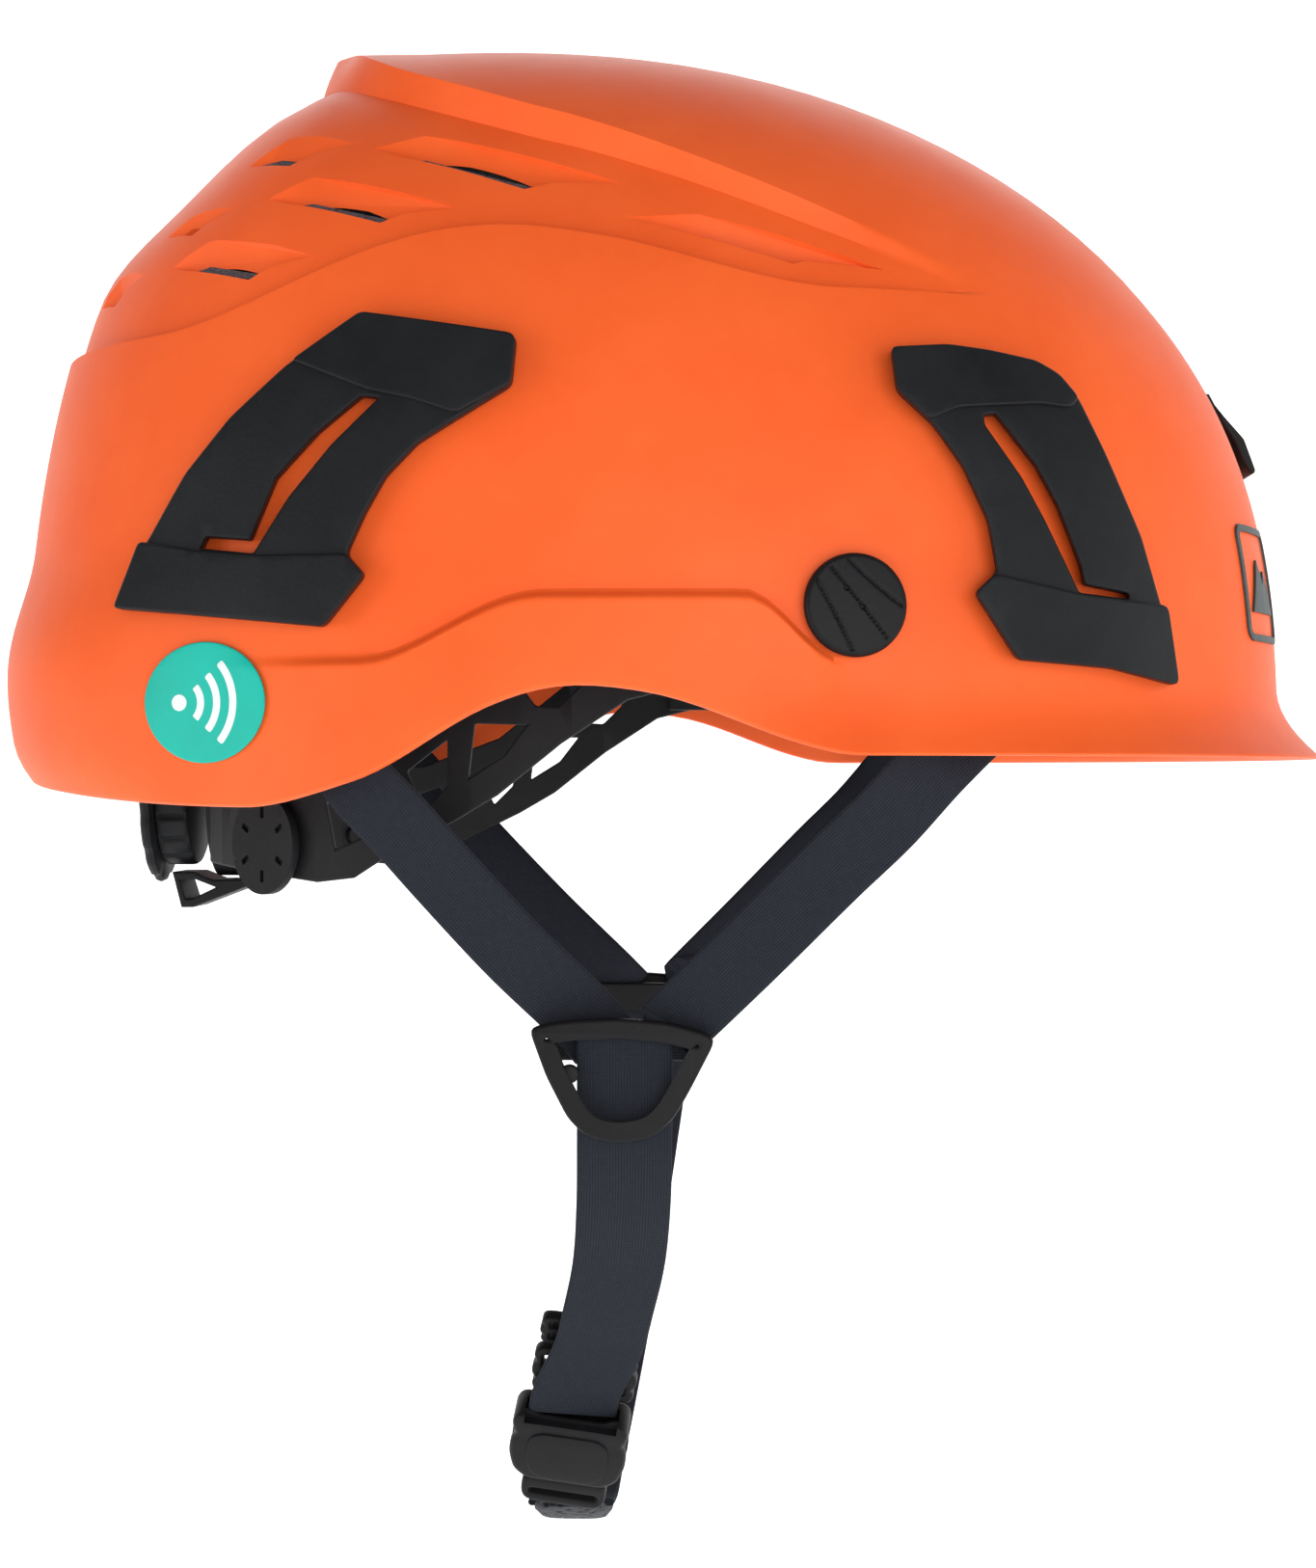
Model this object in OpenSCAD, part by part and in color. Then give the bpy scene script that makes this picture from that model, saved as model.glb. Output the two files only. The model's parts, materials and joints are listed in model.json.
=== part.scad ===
// Climbing helmet: a vented hard shell over a foam liner, with a ratchet head cradle and a chin
// harness of four webbing straps, two yokes and a side-release buckle.
// +X points forward, +Y to the wearer's left and +Z up. The origin is the centre of the head
// opening, level with the lower edge of the front brim.

/* [Shell] */
// Length of the shell ahead of the ears, without the brim
front_length = 134.5; // [131:0.5:138]
// Length of the shell behind the ears, without the nape flare
rear_length = 137.8; // [134:0.2:142]
// Half of the shell's width, without the ear flange
half_width = 106; // [104:1:110]
// Height of the crown above the brim
crown_height = 150.7; // [150:0.1:153]
// How far the crown lies behind the middle
crown_back = 32.7; // [30:0.1:36]
// Fullness of the dome in side view, where 2 is an ellipse
dome_power = 2.48; // [2.4:0.01:2.55]
// How far the back of the dome is flattened above the lower shell
rear_flat = 5.8; // [4:0.1:6]
// Fullness of the dome seen from above
plan_power = 2.2; // [2.1:0.05:2.3]
// Wall of the hard shell
shell_wall = 2.6; // [2.2:0.1:3]
// How far the vented panel lies below the lower shell
panel_recess = 2.2; // [1.6:0.1:2.6]
// How far the crown panel stands above the dome
crown_rise = 2.4; // [1.6:0.1:3]
// How far the ear flange stands out
flange_out = 2.4; // [1.5:0.1:3]
// How far the front brim turns out
brim_out = 9.4; // [6:0.2:10]
// How far the nape of the shell flares out
nape_out = 3.9; // [2:0.1:5]
// Height of the arch that clears the ear
ear_arch = 13; // [9:1:14]
// How far the rim drops behind the ear
nape_drop = 9.8; // [6:0.2:10]

/* [Liner and cradle] */
// Thickness of the foam liner at the sides
liner_thick = 13; // [11:1:14]
// Half length of the headband inside the liner
band_length = 106; // [103:1:107]
// Half width of the headband
band_width = 79; // [77:1:80]
// Thickness of the headband and the cradle arms
band_thick = 1.8; // [1.4:0.1:2]
// Radius of the ratchet knob's grip
knob_r = 16.2; // [14:0.2:17]
// Radius of the ratchet housing
housing_r = 18.6; // [18:0.2:19]

/* [Harness] */
// Width of the chin webbing
web_w = 19; // [17:1:20]
// Width of the four upper straps
upper_w = 14.5; // [14:0.5:16]
// Thickness of the webbing
web_t = 1.5; // [1.2:0.1:1.6]
// Height of the yokes' centres
yoke_z = -64; // [-66:1:-62]
// Distance of each yoke from the middle
yoke_y = 70; // [68:1:72]
// Width of the side-release buckle
buckle_w = 25; // [24:0.5:27]

/* [Fittings] */
// Thickness of the lamp clips' legs above the shell
clip_rise = 4.2; // [3:0.1:5]
// Extra thickness of the lamp clips' end blocks
block_rise = 1.4; // [0.8:0.1:2]
// Radius of the accessory plug's face
plug_r = 9.8; // [9:0.1:10]
// Radius of the bore that the plug's stem sits in
socket_r = 7; // [6:0.1:7.2]
// Radius of the round tag at the rear
tag_r = 11.7; // [10:0.1:12]

/* [Hidden] */
$fn = 48;
SHELL_STEP = 5;
liner_gap = 0.8;
panel_wall = shell_wall + panel_recess;
pivot = [6, 22];
pin_r = 2.5;
axle_z = -7;
plug_spot = [74.5, 28];
size_angle = 138;
rear_share = 0.91;
rack_x = -94.2;
rack_t = 1.2;
peg_r = 2;
anchor_front = 61;
anchor_rear = 116;
anchor_rear_slack = 122;
strap_slack = 8;
buckle_at = [-18.3, -20, -146.3];
buckle_tilt = [30, 8, 0];

// ---------------------------------------------------------------- helpers

function unit(v) = v / norm(v);
function signed_pow(v, power) = sign(v) * pow(abs(v), power);

// Rises smoothly from 0 to 1 between two values
function ease(v, from, to) =
  let (share = min(1, max(0, (v - from) / (to - from))))
  share * share * (3 - 2 * share);

// Rises straight from 0 to 1 between two values
function ramp(v, from, to) = min(1, max(0, (v - from) / (to - from)));

// A smooth bump of height 1 around one value
function hump(v, middle, reach) =
  abs(v - middle) >= reach ? 0 : pow(cos(90 * (v - middle) / reach), 2);

// Two triangles of a four-sided face, clockwise seen from outside
function quad(a, b, c, d) = [[a, b, c], [a, c, d]];

// Closed solid between an outer and an inner grid of points. Columns run round and rows run up.
// A ring joins its last column to the first. A peak closes the top with one point on each side.
module between(outer, inner, ring = false, peak = []) {
  columns = len(outer);
  rows = len(outer[0]);
  inner_rows = len(inner[0]);
  last = rows - 1;
  inner_last = inner_rows - 1;
  spans = ring ? columns : columns - 1;
  inner_start = columns * rows;
  top_out = inner_start + columns * inner_rows;
  function o(i, k) = (i % columns) * rows + k;
  function n(i, k) = inner_start + (i % columns) * inner_rows + k;
  outside = [for (i = [0:spans - 1], k = [0:last - 1]) each
    quad(o(i, k), o(i, k + 1), o(i + 1, k + 1), o(i + 1, k))];
  inside = [for (i = [0:spans - 1], k = [0:inner_last - 1]) each
    quad(n(i, k), n(i + 1, k), n(i + 1, k + 1), n(i, k + 1))];
  foot = [for (i = [0:spans - 1]) each quad(o(i, 0), o(i + 1, 0), n(i + 1, 0), n(i, 0))];
  top = len(peak) == 2
    ? [for (i = [0:spans - 1]) each [
        [o(i, last), top_out, o(i + 1, last)],
        [n(i, inner_last), n(i + 1, inner_last), top_out + 1]]]
    : [for (i = [0:spans - 1]) each
        quad(o(i, last), n(i, last), n(i + 1, last), o(i + 1, last))];
  far = columns - 1;
  ends = ring ? [] : [for (k = [0:last - 1]) each concat(
    quad(o(0, k), n(0, k), n(0, k + 1), o(0, k + 1)),
    quad(o(far, k), o(far, k + 1), n(far, k + 1), n(far, k)))];
  polyhedron(
    concat([for (c = outer) each c], [for (c = inner) each c], peak),
    concat(outside, inside, foot, top, ends),
    convexity = 8);
}

// Flat band along a path of points. Each normal points out of the band's face.
module ribbon(path, normals, width, thick) {
  count = len(path);
  function along(i) = unit(path[min(i + 1, count - 1)] - path[max(i - 1, 0)]);
  function across(i) = unit(cross(normals[i], along(i)));
  function lift(i) = unit(cross(along(i), across(i))) * thick / 2;
  function side(i, s) = [for (w = [-0.5, 0.5]) path[i] + across(i) * width * w + lift(i) * s];
  between([for (i = [0:count - 1]) side(i, 1)], [for (i = [0:count - 1]) side(i, -1)]);
}

module mirrored() {
  mirror([0, 1, 0]) children();
}

// ---------------------------------------------------------------- dome

// Point on the dome: angle round from the front, height, and distance outward
function dome(angle, z, out) =
  let (
    rise = max(0, z) / crown_height,
    shrink = pow(max(0, 1 - pow(rise, dome_power)), 1 / dome_power),
    x = signed_pow(cos(angle), 2 / plan_power),
    y = signed_pow(sin(angle), 2 / plan_power))
  [
    ((x < 0 ? rear_length : front_length) + out) * shrink * x - crown_back * pow(rise, 3.3),
    (half_width + out) * shrink * y,
    z + out * rise
  ];

// Heights of the shell's lines at an angle from the front, the same on both sides
function round_angle(angle) = abs(angle) > 180 ? 360 - abs(angle) : abs(angle);
function rim_z(a) =
  let (arch = ear_arch * hump(a, 93.5, a < 93.5 ? 19.5 : 17.5))
  arch - nape_drop * ease(a, 100, 122) * (1 - 0.5 * ease(a, 120, 180));
function flange_z(a) = 18 + 12 * ease(a, 76, 83) * (1 - ease(a, 96, 110));
function seam_z(a) = 90 - 5.5 * ease(a, 100, 140) + 12.8 * hump(a, 98, a < 98 ? 28 : 38);
function crown_line(a) = 91 + 54.5 * pow(sin(90 * ramp(a, 55, 142)), 0.9) + 1.9 * ease(a, 136, 162);
function crown_z(a) = max(seam_z(a) + 3.5, crown_line(a));
function step_half(a) = 1 - 0.7 * ease(a, 128, 160);
function liner_z(a) = 17 + 9 * hump(a, 92, 26);

// How far the shell's outer face stands off the plain dome
function nape_flare(a, z) = nape_out * hump(z, 18, z < 18 ? 34 : 27) * ease(a, 112, 150);
function flat_back(a, z) = rear_flat * hump(z, 130, 32.5) * ease(a, 120, 165);
function brim_flare(a, z) =
  (brim_out - 5.5 * ease(a, 25, 75)) * (1 - ease(a, 75, 95)) * pow(1 - ramp(z, 0, 15), 2);
function flange(a, z) =
  flange_out * ease(a, 75.5, 78) * (1 - ease(a, 107, 125))
  * (1 - ramp(z, flange_z(a) - 0.8, flange_z(a) + 0.8));
function tuck(a, z) = 3 * pow(1 - ramp(z, rim_z(a), rim_z(a) + 9), 2) * ease(a, 115, 150);
function low_out(a, z) =
  nape_flare(a, z) + brim_flare(a, z) + flange(a, z) - flat_back(a, z) - tuck(a, z);
function panel_out(a, z) =
  let (
    vented = -panel_recess * ease(a, 52, 72) * ramp(z, seam_z(a) - 0.3, seam_z(a) + 0.3),
    raised = crown_rise * ease(a, 56, 100) * (1 + 0.4 * ease(a, 105, 125)) + flat_back(a, z),
    over = ramp(z, crown_z(a) - step_half(a), crown_z(a) + step_half(a)),
    to_top = ramp(z, crown_z(a) + step_half(a), crown_height))
  vented * (1 - over) + over * (raised * (1 - to_top) + crown_rise * 0.6 * to_top);
function skin(angle, z, out) =
  let (a = round_angle(angle))
  dome(angle, z, low_out(a, z) + out);

// Height at a share of the way from a line to the crown, closer together near the top
function near_top(z, share) =
  let (
    turn = asin(pow(z / crown_height, dome_power / 2)))
  crown_height * pow(sin(turn + (90 - turn) * share), 2 / dome_power);

function shell_rows(a) = [
  rim_z(a),
  for (k = [1:3]) rim_z(a) + (flange_z(a) - 0.8 - rim_z(a)) * k / 3,
  for (k = [0:6]) flange_z(a) + 0.8 + (seam_z(a) - flange_z(a) - 1.1) * k / 6,
  for (k = [0:3]) seam_z(a) + 0.3 + (crown_z(a) - seam_z(a) - 0.3 - step_half(a)) * k / 3,
  for (k = [0:4]) near_top(crown_z(a) + step_half(a), k / 5)
];
function inner_rows(a, from) = [
  from,
  for (k = [1:6]) from + (seam_z(a) - from) * k / 6,
  for (k = [1:5]) near_top(seam_z(a), k / 6)
];
function shell_depth(a, z) =
  low_out(a, z) - shell_wall - (panel_wall - shell_wall) * ease(z, seam_z(a) - 14, seam_z(a) - 2);
function angles(from, to, step) = [for (angle = [from:step:to]) angle];

// Places its children on the dome, with X to the right and Y up as seen from outside
module on_dome(angle, z, out = 0) {
  here = dome(angle, z, out);
  right = unit(dome(angle + 0.5, z, out) - dome(angle - 0.5, z, out));
  normal = unit(cross(right, dome(angle, z + 0.5, out) - dome(angle, z - 0.5, out)));
  up = cross(normal, right);
  multmatrix([
    [right.x, up.x, normal.x, here.x],
    [right.y, up.y, normal.y, here.y],
    [right.z, up.z, normal.z, here.z],
    [0, 0, 0, 1]
  ]) children();
}

// Layer that follows the shell over part of the dome
module layer(from, to, low, high, inside, outside, columns = 12, rows = 8) {
  function column(angle, out) =
    [for (k = [0:rows]) skin(angle, low + (high - low) * k / rows, out)];
  turns = [for (i = [0:columns]) from + (to - from) * i / columns];
  between([for (t = turns) column(t, outside)], [for (t = turns) column(t, inside)]);
}

// ---------------------------------------------------------------- shell and liner

// Each vent: angle, height, length and height of the opening, its tilt, and the reach of its scoop
VENTS = [
  [100, 117.5, 27, 3.8, -24, 7],
  [115, 110, 22.6, 3.4, -18, 6.5],
  [130, 99, 19, 3.4, -13, 6],
  [76.5, 99.5, 17.4, 1.9, -22.6, 12.6],
  [126, 123.5, 11, 4.2, -14, 4.5],
  [140, 110.4, 9, 3.6, -9, 4],
  [155, 97.5, 9, 3.4, -7, 4]
];
scoop_rise = 5;

// Point on the right side's panel at a vent's own right and up, out from the panel
function vent_point(v, x, y, out) =
  let (
    across = norm(dome(v[0] + 0.5, v[1], 0) - dome(v[0] - 0.5, v[1], 0)),
    rise = norm(dome(v[0], v[1] + 0.5, 0) - dome(v[0], v[1] - 0.5, 0)),
    right = x * cos(v[4]) - y * sin(v[4]),
    up = x * sin(v[4]) + y * cos(v[4])
  )
  dome(right / across - v[0], v[1] + up / rise, out - panel_recess);

// Hull over an outline on the panel, between a low and a high distance from it at each corner
module vent_block(v, corners, low, high) {
  count = len(corners);
  function layer_at(out) = [for (i = [0:count - 1]) vent_point(v, corners[i].x, corners[i].y, out[i])];
  hull() polyhedron(
    concat(layer_at(low), layer_at(high)),
    concat(
      [[for (i = [0:count - 1]) i], [for (i = [count - 1:-1:0]) count + i]],
      [for (i = [0:count - 1]) let (j = (i + 1) % count) [i, count + i, count + j, j]]));
}

// Corners of a vent's opening from its lower left, moved in by a gap
function opening(v, gap = 0) =
  let (half = v[2] / 2 - gap, high = v[3] / 2 - gap, lean = 0.55 * v[3])
  [[-half - lean, -high], [half - lean, -high], [half + lean, high], [lean - half, high]];

// Scoop that deepens downward to an opening through the wall
module vent_cut(v) {
  half = v[2] / 2;
  high = v[3] / 2;
  lean = 0.55 * v[3];
  reach = v[5];
  hole = opening(v);
  inner = opening(v, 0.3);
  shoulder = [lean - half - 0.2 * reach, high + 0.85 * scoop_rise];
  tip = [half + lean + reach + 3, high + 0.8 * scoop_rise];
  brow = [half, high + 1.05 * scoop_rise];
  left_end = hole[0] - [reach, 0];
  vent_block(v, [inner[3], inner[2], tip, brow, shoulder], [-2.4, -2.4, 0, 0, 0], [5, 5, 5, 5, 5]);
  vent_block(v, [inner[0], inner[3], shoulder, left_end], [-2.4, -2.4, 0, 0], [5, 5, 5, 5]);
  vent_block(v, hole, [-14, -14, -14, -14], [5, 5, 5, 5]);
}

module vents() {
  for (v = VENTS, side = [0, 1]) mirror([0, side, 0]) vent_cut(v);
}

// Pegs that hold each lamp clip in the shell, as angle and height
CLIP_PEGS = [[106, 73], [122, 33], [60, 70.5], [55, 22.5]];

module clip_pegs(spots, r, from, to) {
  for (s = spots) on_dome(s[0], s[1], low_out(s[0], s[1]))
    translate([0, 0, from]) cylinder(r = r, h = to - from);
}

module shell() {
  turns = angles(0, 359, SHELL_STEP);
  color("orangered") difference() {
    between(
      [for (t = turns) let (a = round_angle(t))
        [for (z = shell_rows(a)) dome(t, z, low_out(a, z) + panel_out(a, z))]],
      [for (t = turns) let (a = round_angle(t))
        [for (z = inner_rows(a, rim_z(a))) dome(t, z, shell_depth(a, z))]],
      ring = true,
      peak = [dome(0, crown_height, crown_rise * 0.6), dome(0, crown_height, -panel_wall)]);
    vents();
    for (s = [0, 1]) mirror([0, s, 0]) {
      on_dome(plug_spot[0], plug_spot[1]) translate([0, 0, -10])
        cylinder(r = socket_r + 1.9, h = 20);
      clip_pegs(CLIP_PEGS, peg_r + 0.2, -8, 8);
    }
  }
}

module liner() {
  turns = angles(0, 355, 8);
  function top_gap(a, z) = min(-shell_wall, shell_depth(a, z)) - liner_gap;
  color("dimgray") difference() {
    between(
      [for (t = turns) let (a = round_angle(t))
        [for (z = inner_rows(a, liner_z(a))) dome(t, z, top_gap(a, z))]],
      [for (t = turns) let (a = round_angle(t))
        [for (z = inner_rows(a, liner_z(a))) dome(t, z, top_gap(a, z) - liner_thick)]],
      ring = true,
      peak = [
        dome(0, crown_height, -panel_wall - liner_gap),
        dome(0, crown_height, -panel_wall - liner_gap - liner_thick)
      ]);
    for (s = [0, 1]) mirror([0, s, 0]) {
      for (v = VENTS) {
        on_dome(v[0], v[1], -20) rotate(-v[4]) hull() {
          for (x = [-0.5, 0.5]) translate([x * (v[2] - 5), 0, -8]) cylinder(r = 3, h = 30, $fn = 8);
        }
      }
      on_dome(plug_spot[0], plug_spot[1]) translate([0, 0, -9]) cylinder(r = socket_r + 2.4, h = 9);
    }
  }
}

// Woven screens in the openings of one side
module vent_mesh() {
  for (v = [for (i = [0:4]) VENTS[i]])
    vent_block(v, opening(v, 0.2), [-1.5, -1.5, -2.5, -2.5], [-1.1, -1.1, -2.1, -2.1]);
}

module vent_mesh_left() {
  color("darkslategray") mirrored() vent_mesh();
}

module vent_mesh_right() {
  color("darkslategray") vent_mesh();
}

module crown_pad() {
  inside = panel_wall + liner_gap + liner_thick + 5.2;
  turns = angles(0, 345, 15);
  color("dimgray") between(
    [for (t = turns) [for (k = [0:3]) dome(t, near_top(crown_height * 0.92, k / 4), -inside)]],
    [for (t = turns) [for (k = [0:3]) dome(t, near_top(crown_height * 0.92, k / 4), -inside - 5)]],
    ring = true,
    peak = [dome(0, crown_height, -inside), dome(0, crown_height, -inside - 5)]);
}

// Four comfort pads on the liner's inner face
module side_pads() {
  inside = panel_wall + liner_gap + liner_thick + 1.8;
  color("dimgray") for (middle = [38, 128, 232, 322]) between(
    [for (t = angles(middle - 15, middle + 15, 5)) [for (z = [60:11:115]) dome(t, z, -inside)]],
    [for (t = angles(middle - 15, middle + 15, 5)) [for (z = [60:11:115]) dome(t, z, -inside - 5)]]);
}

// ---------------------------------------------------------------- marks and fittings

// Plain mountain badge in a rounded frame
module emblem() {
  color("slategray") intersection() {
    layer(-29, -9, 22, 50, 0.15, 0.6, 8, 10);
    translate([126.5, -38, 36]) rotate([90, 0, 69]) translate([0, 0, -20]) linear_extrude(60) {
      difference() {
        offset(3) square([18, 18], center = true);
        offset(1.6) square([18, 18], center = true);
      }
      polygon([[-8, -6], [-2, 5], [1, 0], [3, 3], [8, -6]]);
    }
  }
}

module tag_disc() {
  color("lightseagreen") intersection() {
    layer(-140, -110, -4, 26, 0.15, 0.9, 12, 12);
    translate([-84.4, -40, 10.4]) rotate([90, 0, 0]) scale([1.1, 1, 1]) cylinder(r = tag_r, h = 80);
  }
}

// Hook on the forehead that holds a lamp's strap down
module lamp_hook() {
  function off(z, out) = [dome(0, z, 0).x + out, z];
  color("black") translate([0, 11, 0]) rotate([90, 0, 0]) linear_extrude(22) polygon([
    off(79.5, 0.3), off(74.2, 1.7), off(69.4, 3.7), off(62.4, 3.5), off(61.6, 2.4),
    off(63.4, 1.5), off(69, 1.3), off(73, 0.4)
  ]);
}

REAR_CLIP = [
  [-53.5, 84.8], [-24, 79.6], [-23.3, 78.3], [-24, 69.6], [-34, 63.5], [-41.7, 58.8],
  [-47.7, 52.7], [-51.7, 45.7], [-55.2, 38], [-51.5, 34], [-59.5, 24.3], [-103.6, 29],
  [-98.3, 42], [-97, 41.5], [-88.8, 54.7], [-79.4, 65.4], [-68.4, 74.8]
];
REAR_SLOT = [
  [-52.8, 68.2], [-49.4, 67.7], [-58.5, 59], [-66.9, 49.1], [-73.8, 38.6], [-84.9, 40],
  [-83.8, 42.2], [-74.6, 41.2], [-69.6, 52.9], [-61.4, 61.4]
];
REAR_BLOCKS = [
  [[-60, 90], [-52.8, 70.3], [-35, 64.4], [-20, 60], [-15, 90]],
  [[-110, 42.4], [-98.3, 42], [-55.2, 38], [-45, 34], [-50, 20], [-110, 20]]
];
FRONT_CLIP = [
  [47.4, 77.3], [58.4, 78.3], [66.3, 77.6], [75.7, 76.1], [80.3, 73.7], [84.2, 69.2],
  [89.3, 58.7], [96.4, 42.5], [100.4, 29], [101.8, 28.7], [103.9, 14.9], [103.3, 13.9],
  [89.8, 16.8], [71.1, 18.1], [62.9, 30.6], [67.3, 34.7], [65.6, 44.4], [60.9, 54.6],
  [55.3, 62.5], [48.4, 68.9]
];
FRONT_SLOT = [
  [65, 64.6], [67.3, 65.1], [75.2, 55.2], [79.4, 47.5], [83.8, 36.2], [84.5, 32.7],
  [93.4, 31.3], [93.5, 30.2], [83.4, 31.1], [76.7, 44.8], [72.3, 52.8], [65.3, 62.7]
];
FRONT_BLOCKS = [
  [[40, 85], [75, 85], [69, 70], [55.3, 62.5], [40, 60]],
  [[55, 34.7], [67.3, 34.7], [100.4, 29.2], [110, 28.5], [110, 8], [55, 8]]
];

// Side outline as a prism that crosses the left side of the shell
module across_left(outline) {
  translate([0, 130, 0]) rotate([90, 0, 0]) linear_extrude(100) polygon(outline);
}

module lamp_clip(outline, slot, blocks, pegs, from, to, low, high) {
  color("black") {
    intersection() {
      difference() {
        across_left(outline);
        across_left(slot);
      }
      layer(from, to, low, high, 0.2, clip_rise, 10, 8);
    }
    for (b = blocks) intersection() {
      across_left(outline);
      across_left(b);
      layer(from, to, low, high, clip_rise - 0.5, clip_rise + block_rise, 10, 8);
    }
    clip_pegs(pegs, peg_r, -shell_wall, 1.5);
  }
}

module clip_rear() {
  lamp_clip(REAR_CLIP, REAR_SLOT, REAR_BLOCKS, [CLIP_PEGS[0], CLIP_PEGS[1]], 90, 142, 20, 92);
}

module clip_front() {
  lamp_clip(FRONT_CLIP, FRONT_SLOT, FRONT_BLOCKS, [CLIP_PEGS[2], CLIP_PEGS[3]], 38, 76, 10, 84);
}

module clip_front_left() {
  clip_front();
}

module clip_front_right() {
  mirrored() clip_front();
}

module clip_rear_left() {
  clip_rear();
}

module clip_rear_right() {
  mirrored() clip_rear();
}

module plug_socket_left() {
  color("dimgray") on_dome(plug_spot[0], plug_spot[1]) translate([0, 0, -7]) difference() {
    cylinder(r = socket_r + 1.7, h = 7);
    translate([0, 0, 1]) cylinder(r = socket_r, h = 10);
  }
}

module plug_socket_right() {
  mirrored() plug_socket_left();
}

// Round cover with three fanned grooves, and a hollow stem that grips the socket
module plug_left() {
  color("black") on_dome(plug_spot[0], plug_spot[1]) difference() {
    union() {
      translate([0, 0, -5.5]) cylinder(r = socket_r - 0.05, h = 6.5);
      translate([0, 0, 0.9]) cylinder(r = plug_r, h = 0.9);
      translate([0, 0, 1.8]) cylinder(r1 = plug_r, r2 = plug_r - 0.8, h = 0.8);
    }
    translate([0, 0, -6]) cylinder(r = socket_r - 1.8, h = 6);
    for (lean = [-18, 0, 18]) rotate(lean + 25) translate([lean / 6, 0, 2.6])
      cube([0.9, 2 * plug_r - 3, 1.2], center = true);
  }
}

module plug_right() {
  mirrored() plug_left();
}

// ---------------------------------------------------------------- head cradle

// Point on the band's plan, moved out from its inner face
function band_point(angle, out, rear = 1) = [
  (band_length * (cos(angle) < 0 ? rear : 1) + out) * signed_pow(cos(angle), 2 / plan_power),
  (band_width + out) * signed_pow(sin(angle), 2 / plan_power)
];

// Curved strip of the band's plan, standing from one height to another
module band_strip(from, to, out, thick, low, high, rear = 1, step = 5) {
  turns = angles(from, to, step);
  count = len(turns);
  translate([0, 0, low]) linear_extrude(high - low) polygon(concat(
    [for (t = turns) band_point(t, out + thick, rear)],
    [for (i = [count - 1:-1:0]) band_point(turns[i], out, rear)]));
}

module headband() {
  color("black") difference() {
    band_strip(-90, 90, 0, band_thick, 13, 34);
    for (side = [0, 1]) mirror([0, side, 0]) pivot_bore();
    for (middle = [-64:16:64]) {
      spot = band_point(middle, 0);
      translate([spot.x, spot.y, 23.5]) rotate(middle) cube([20, 15, 8], center = true);
    }
  }
}

// Posts that tie the headband to the liner
module headband_posts() {
  color("black") for (angle = [-56, -24, 24, 56]) {
    spot = band_point(angle, band_thick + 0.1);
    translate([spot.x, spot.y, 31]) rotate([0, 90, angle * 1.08]) cylinder(r = 2, h = 7);
  }
}

module brow_pad() {
  color("dimgray") band_strip(-60, 60, -6.3, 6, 14, 34);
}

// Bore that both the headband and the arm turn on
module pivot_bore() {
  translate([pivot.x, 0, pivot.y]) rotate([-90, 0, 0]) cylinder(r = pin_r + 0.05, h = 120);
}

// Flat-headed rivet through the headband and the arm
module pivot_pin_left() {
  color("silver") translate([pivot.x, band_width, pivot.y]) rotate([-90, 0, 0]) {
    translate([0, 0, -1.8]) cylinder(r = 4.5, h = 1.2);
    translate([0, 0, -1]) cylinder(r = pin_r, h = 6);
    translate([0, 0, 2 * band_thick + 1]) cylinder(r = 4.5, h = 1.2);
  }
}

module pivot_pin_right() {
  mirrored() pivot_pin_left();
}

ARM = [
  [15, 32], [-5, 30], [-25, 20], [-42, 6], [-60, -1], [-100, -1], [-100, -21], [-66, -25],
  [-58, -24], [-50, -19], [-37, -12.5], [-28.5, -7.5], [-16, 2.5], [-3, 11], [7, 13.5], [15, 15]
];
ARM_WINDOWS = [
  [[-22, 19], [-23, 12.5], [-21, 9.9], [-16.5, 9.6], [-12, 14], [-10, 21]],
  [[-33, 6.5], [-22.7, 6.2], [-27.2, 0.3], [-34.3, -4.2]],
  [[-46.9, -2.9], [-38.5, 3.4], [-38.6, -5.7], [-43.2, -10.4]],
  [[-64, -9], [-56, -6], [-52, -14], [-62, -18.5]]
];

module arm_left() {
  color("black") difference() {
    intersection() {
      band_strip(80, 157, band_thick + 0.5, band_thick, -30, 35, rear_share, 5.5);
      across_left(ARM);
    }
    for (w = ARM_WINDOWS) across_left(w);
    pivot_bore();
    at_size_disc() cylinder(r = 2.1, h = 20, center = true);
  }
}

module arm_right() {
  mirrored() arm_left();
}

module at_size_disc() {
  spot = band_point(size_angle, 2 * band_thick + 0.5, rear_share);
  translate([spot.x, spot.y, -17.5]) rotate([0, 90, 134]) children();
}

// Notched disc that locks the arm's reach
module size_disc_left() {
  color("black") at_size_disc() {
    difference() {
      translate([0, 0, 0.4]) cylinder(r = 10.2, h = 1.8);
      for (k = [0:5]) rotate(k * 60) translate([6.5, 0, 1.9]) cube([2.4, 1.2, 1.2], center = true);
    }
    translate([0, 0, -3]) cylinder(r = 2, h = 3.6);
  }
}

module size_disc_right() {
  mirrored() size_disc_left();
}

// Toothed band from the arm into the ratchet
module rack(low, teeth) {
  start = band_point(155, band_thick - 1.6, rear_share);
  color("black") {
    translate([0, 0, low]) linear_extrude(4.5) polygon([
      start, [rack_x + 0.4, 17], [rack_x, 12], [rack_x, -12], [rack_x + rack_t, -12],
      [rack_x + rack_t, 12], [rack_x + 0.4 + rack_t, 17], [start.x + 1.1, start.y - 0.6]
    ]);
    for (y = [-11:2.4:11]) translate([rack_x, y, teeth]) cube([rack_t, 1.1, 1]);
  }
}

module rack_left() {
  rack(axle_z + 7.8, axle_z + 6.9);
}

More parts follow.
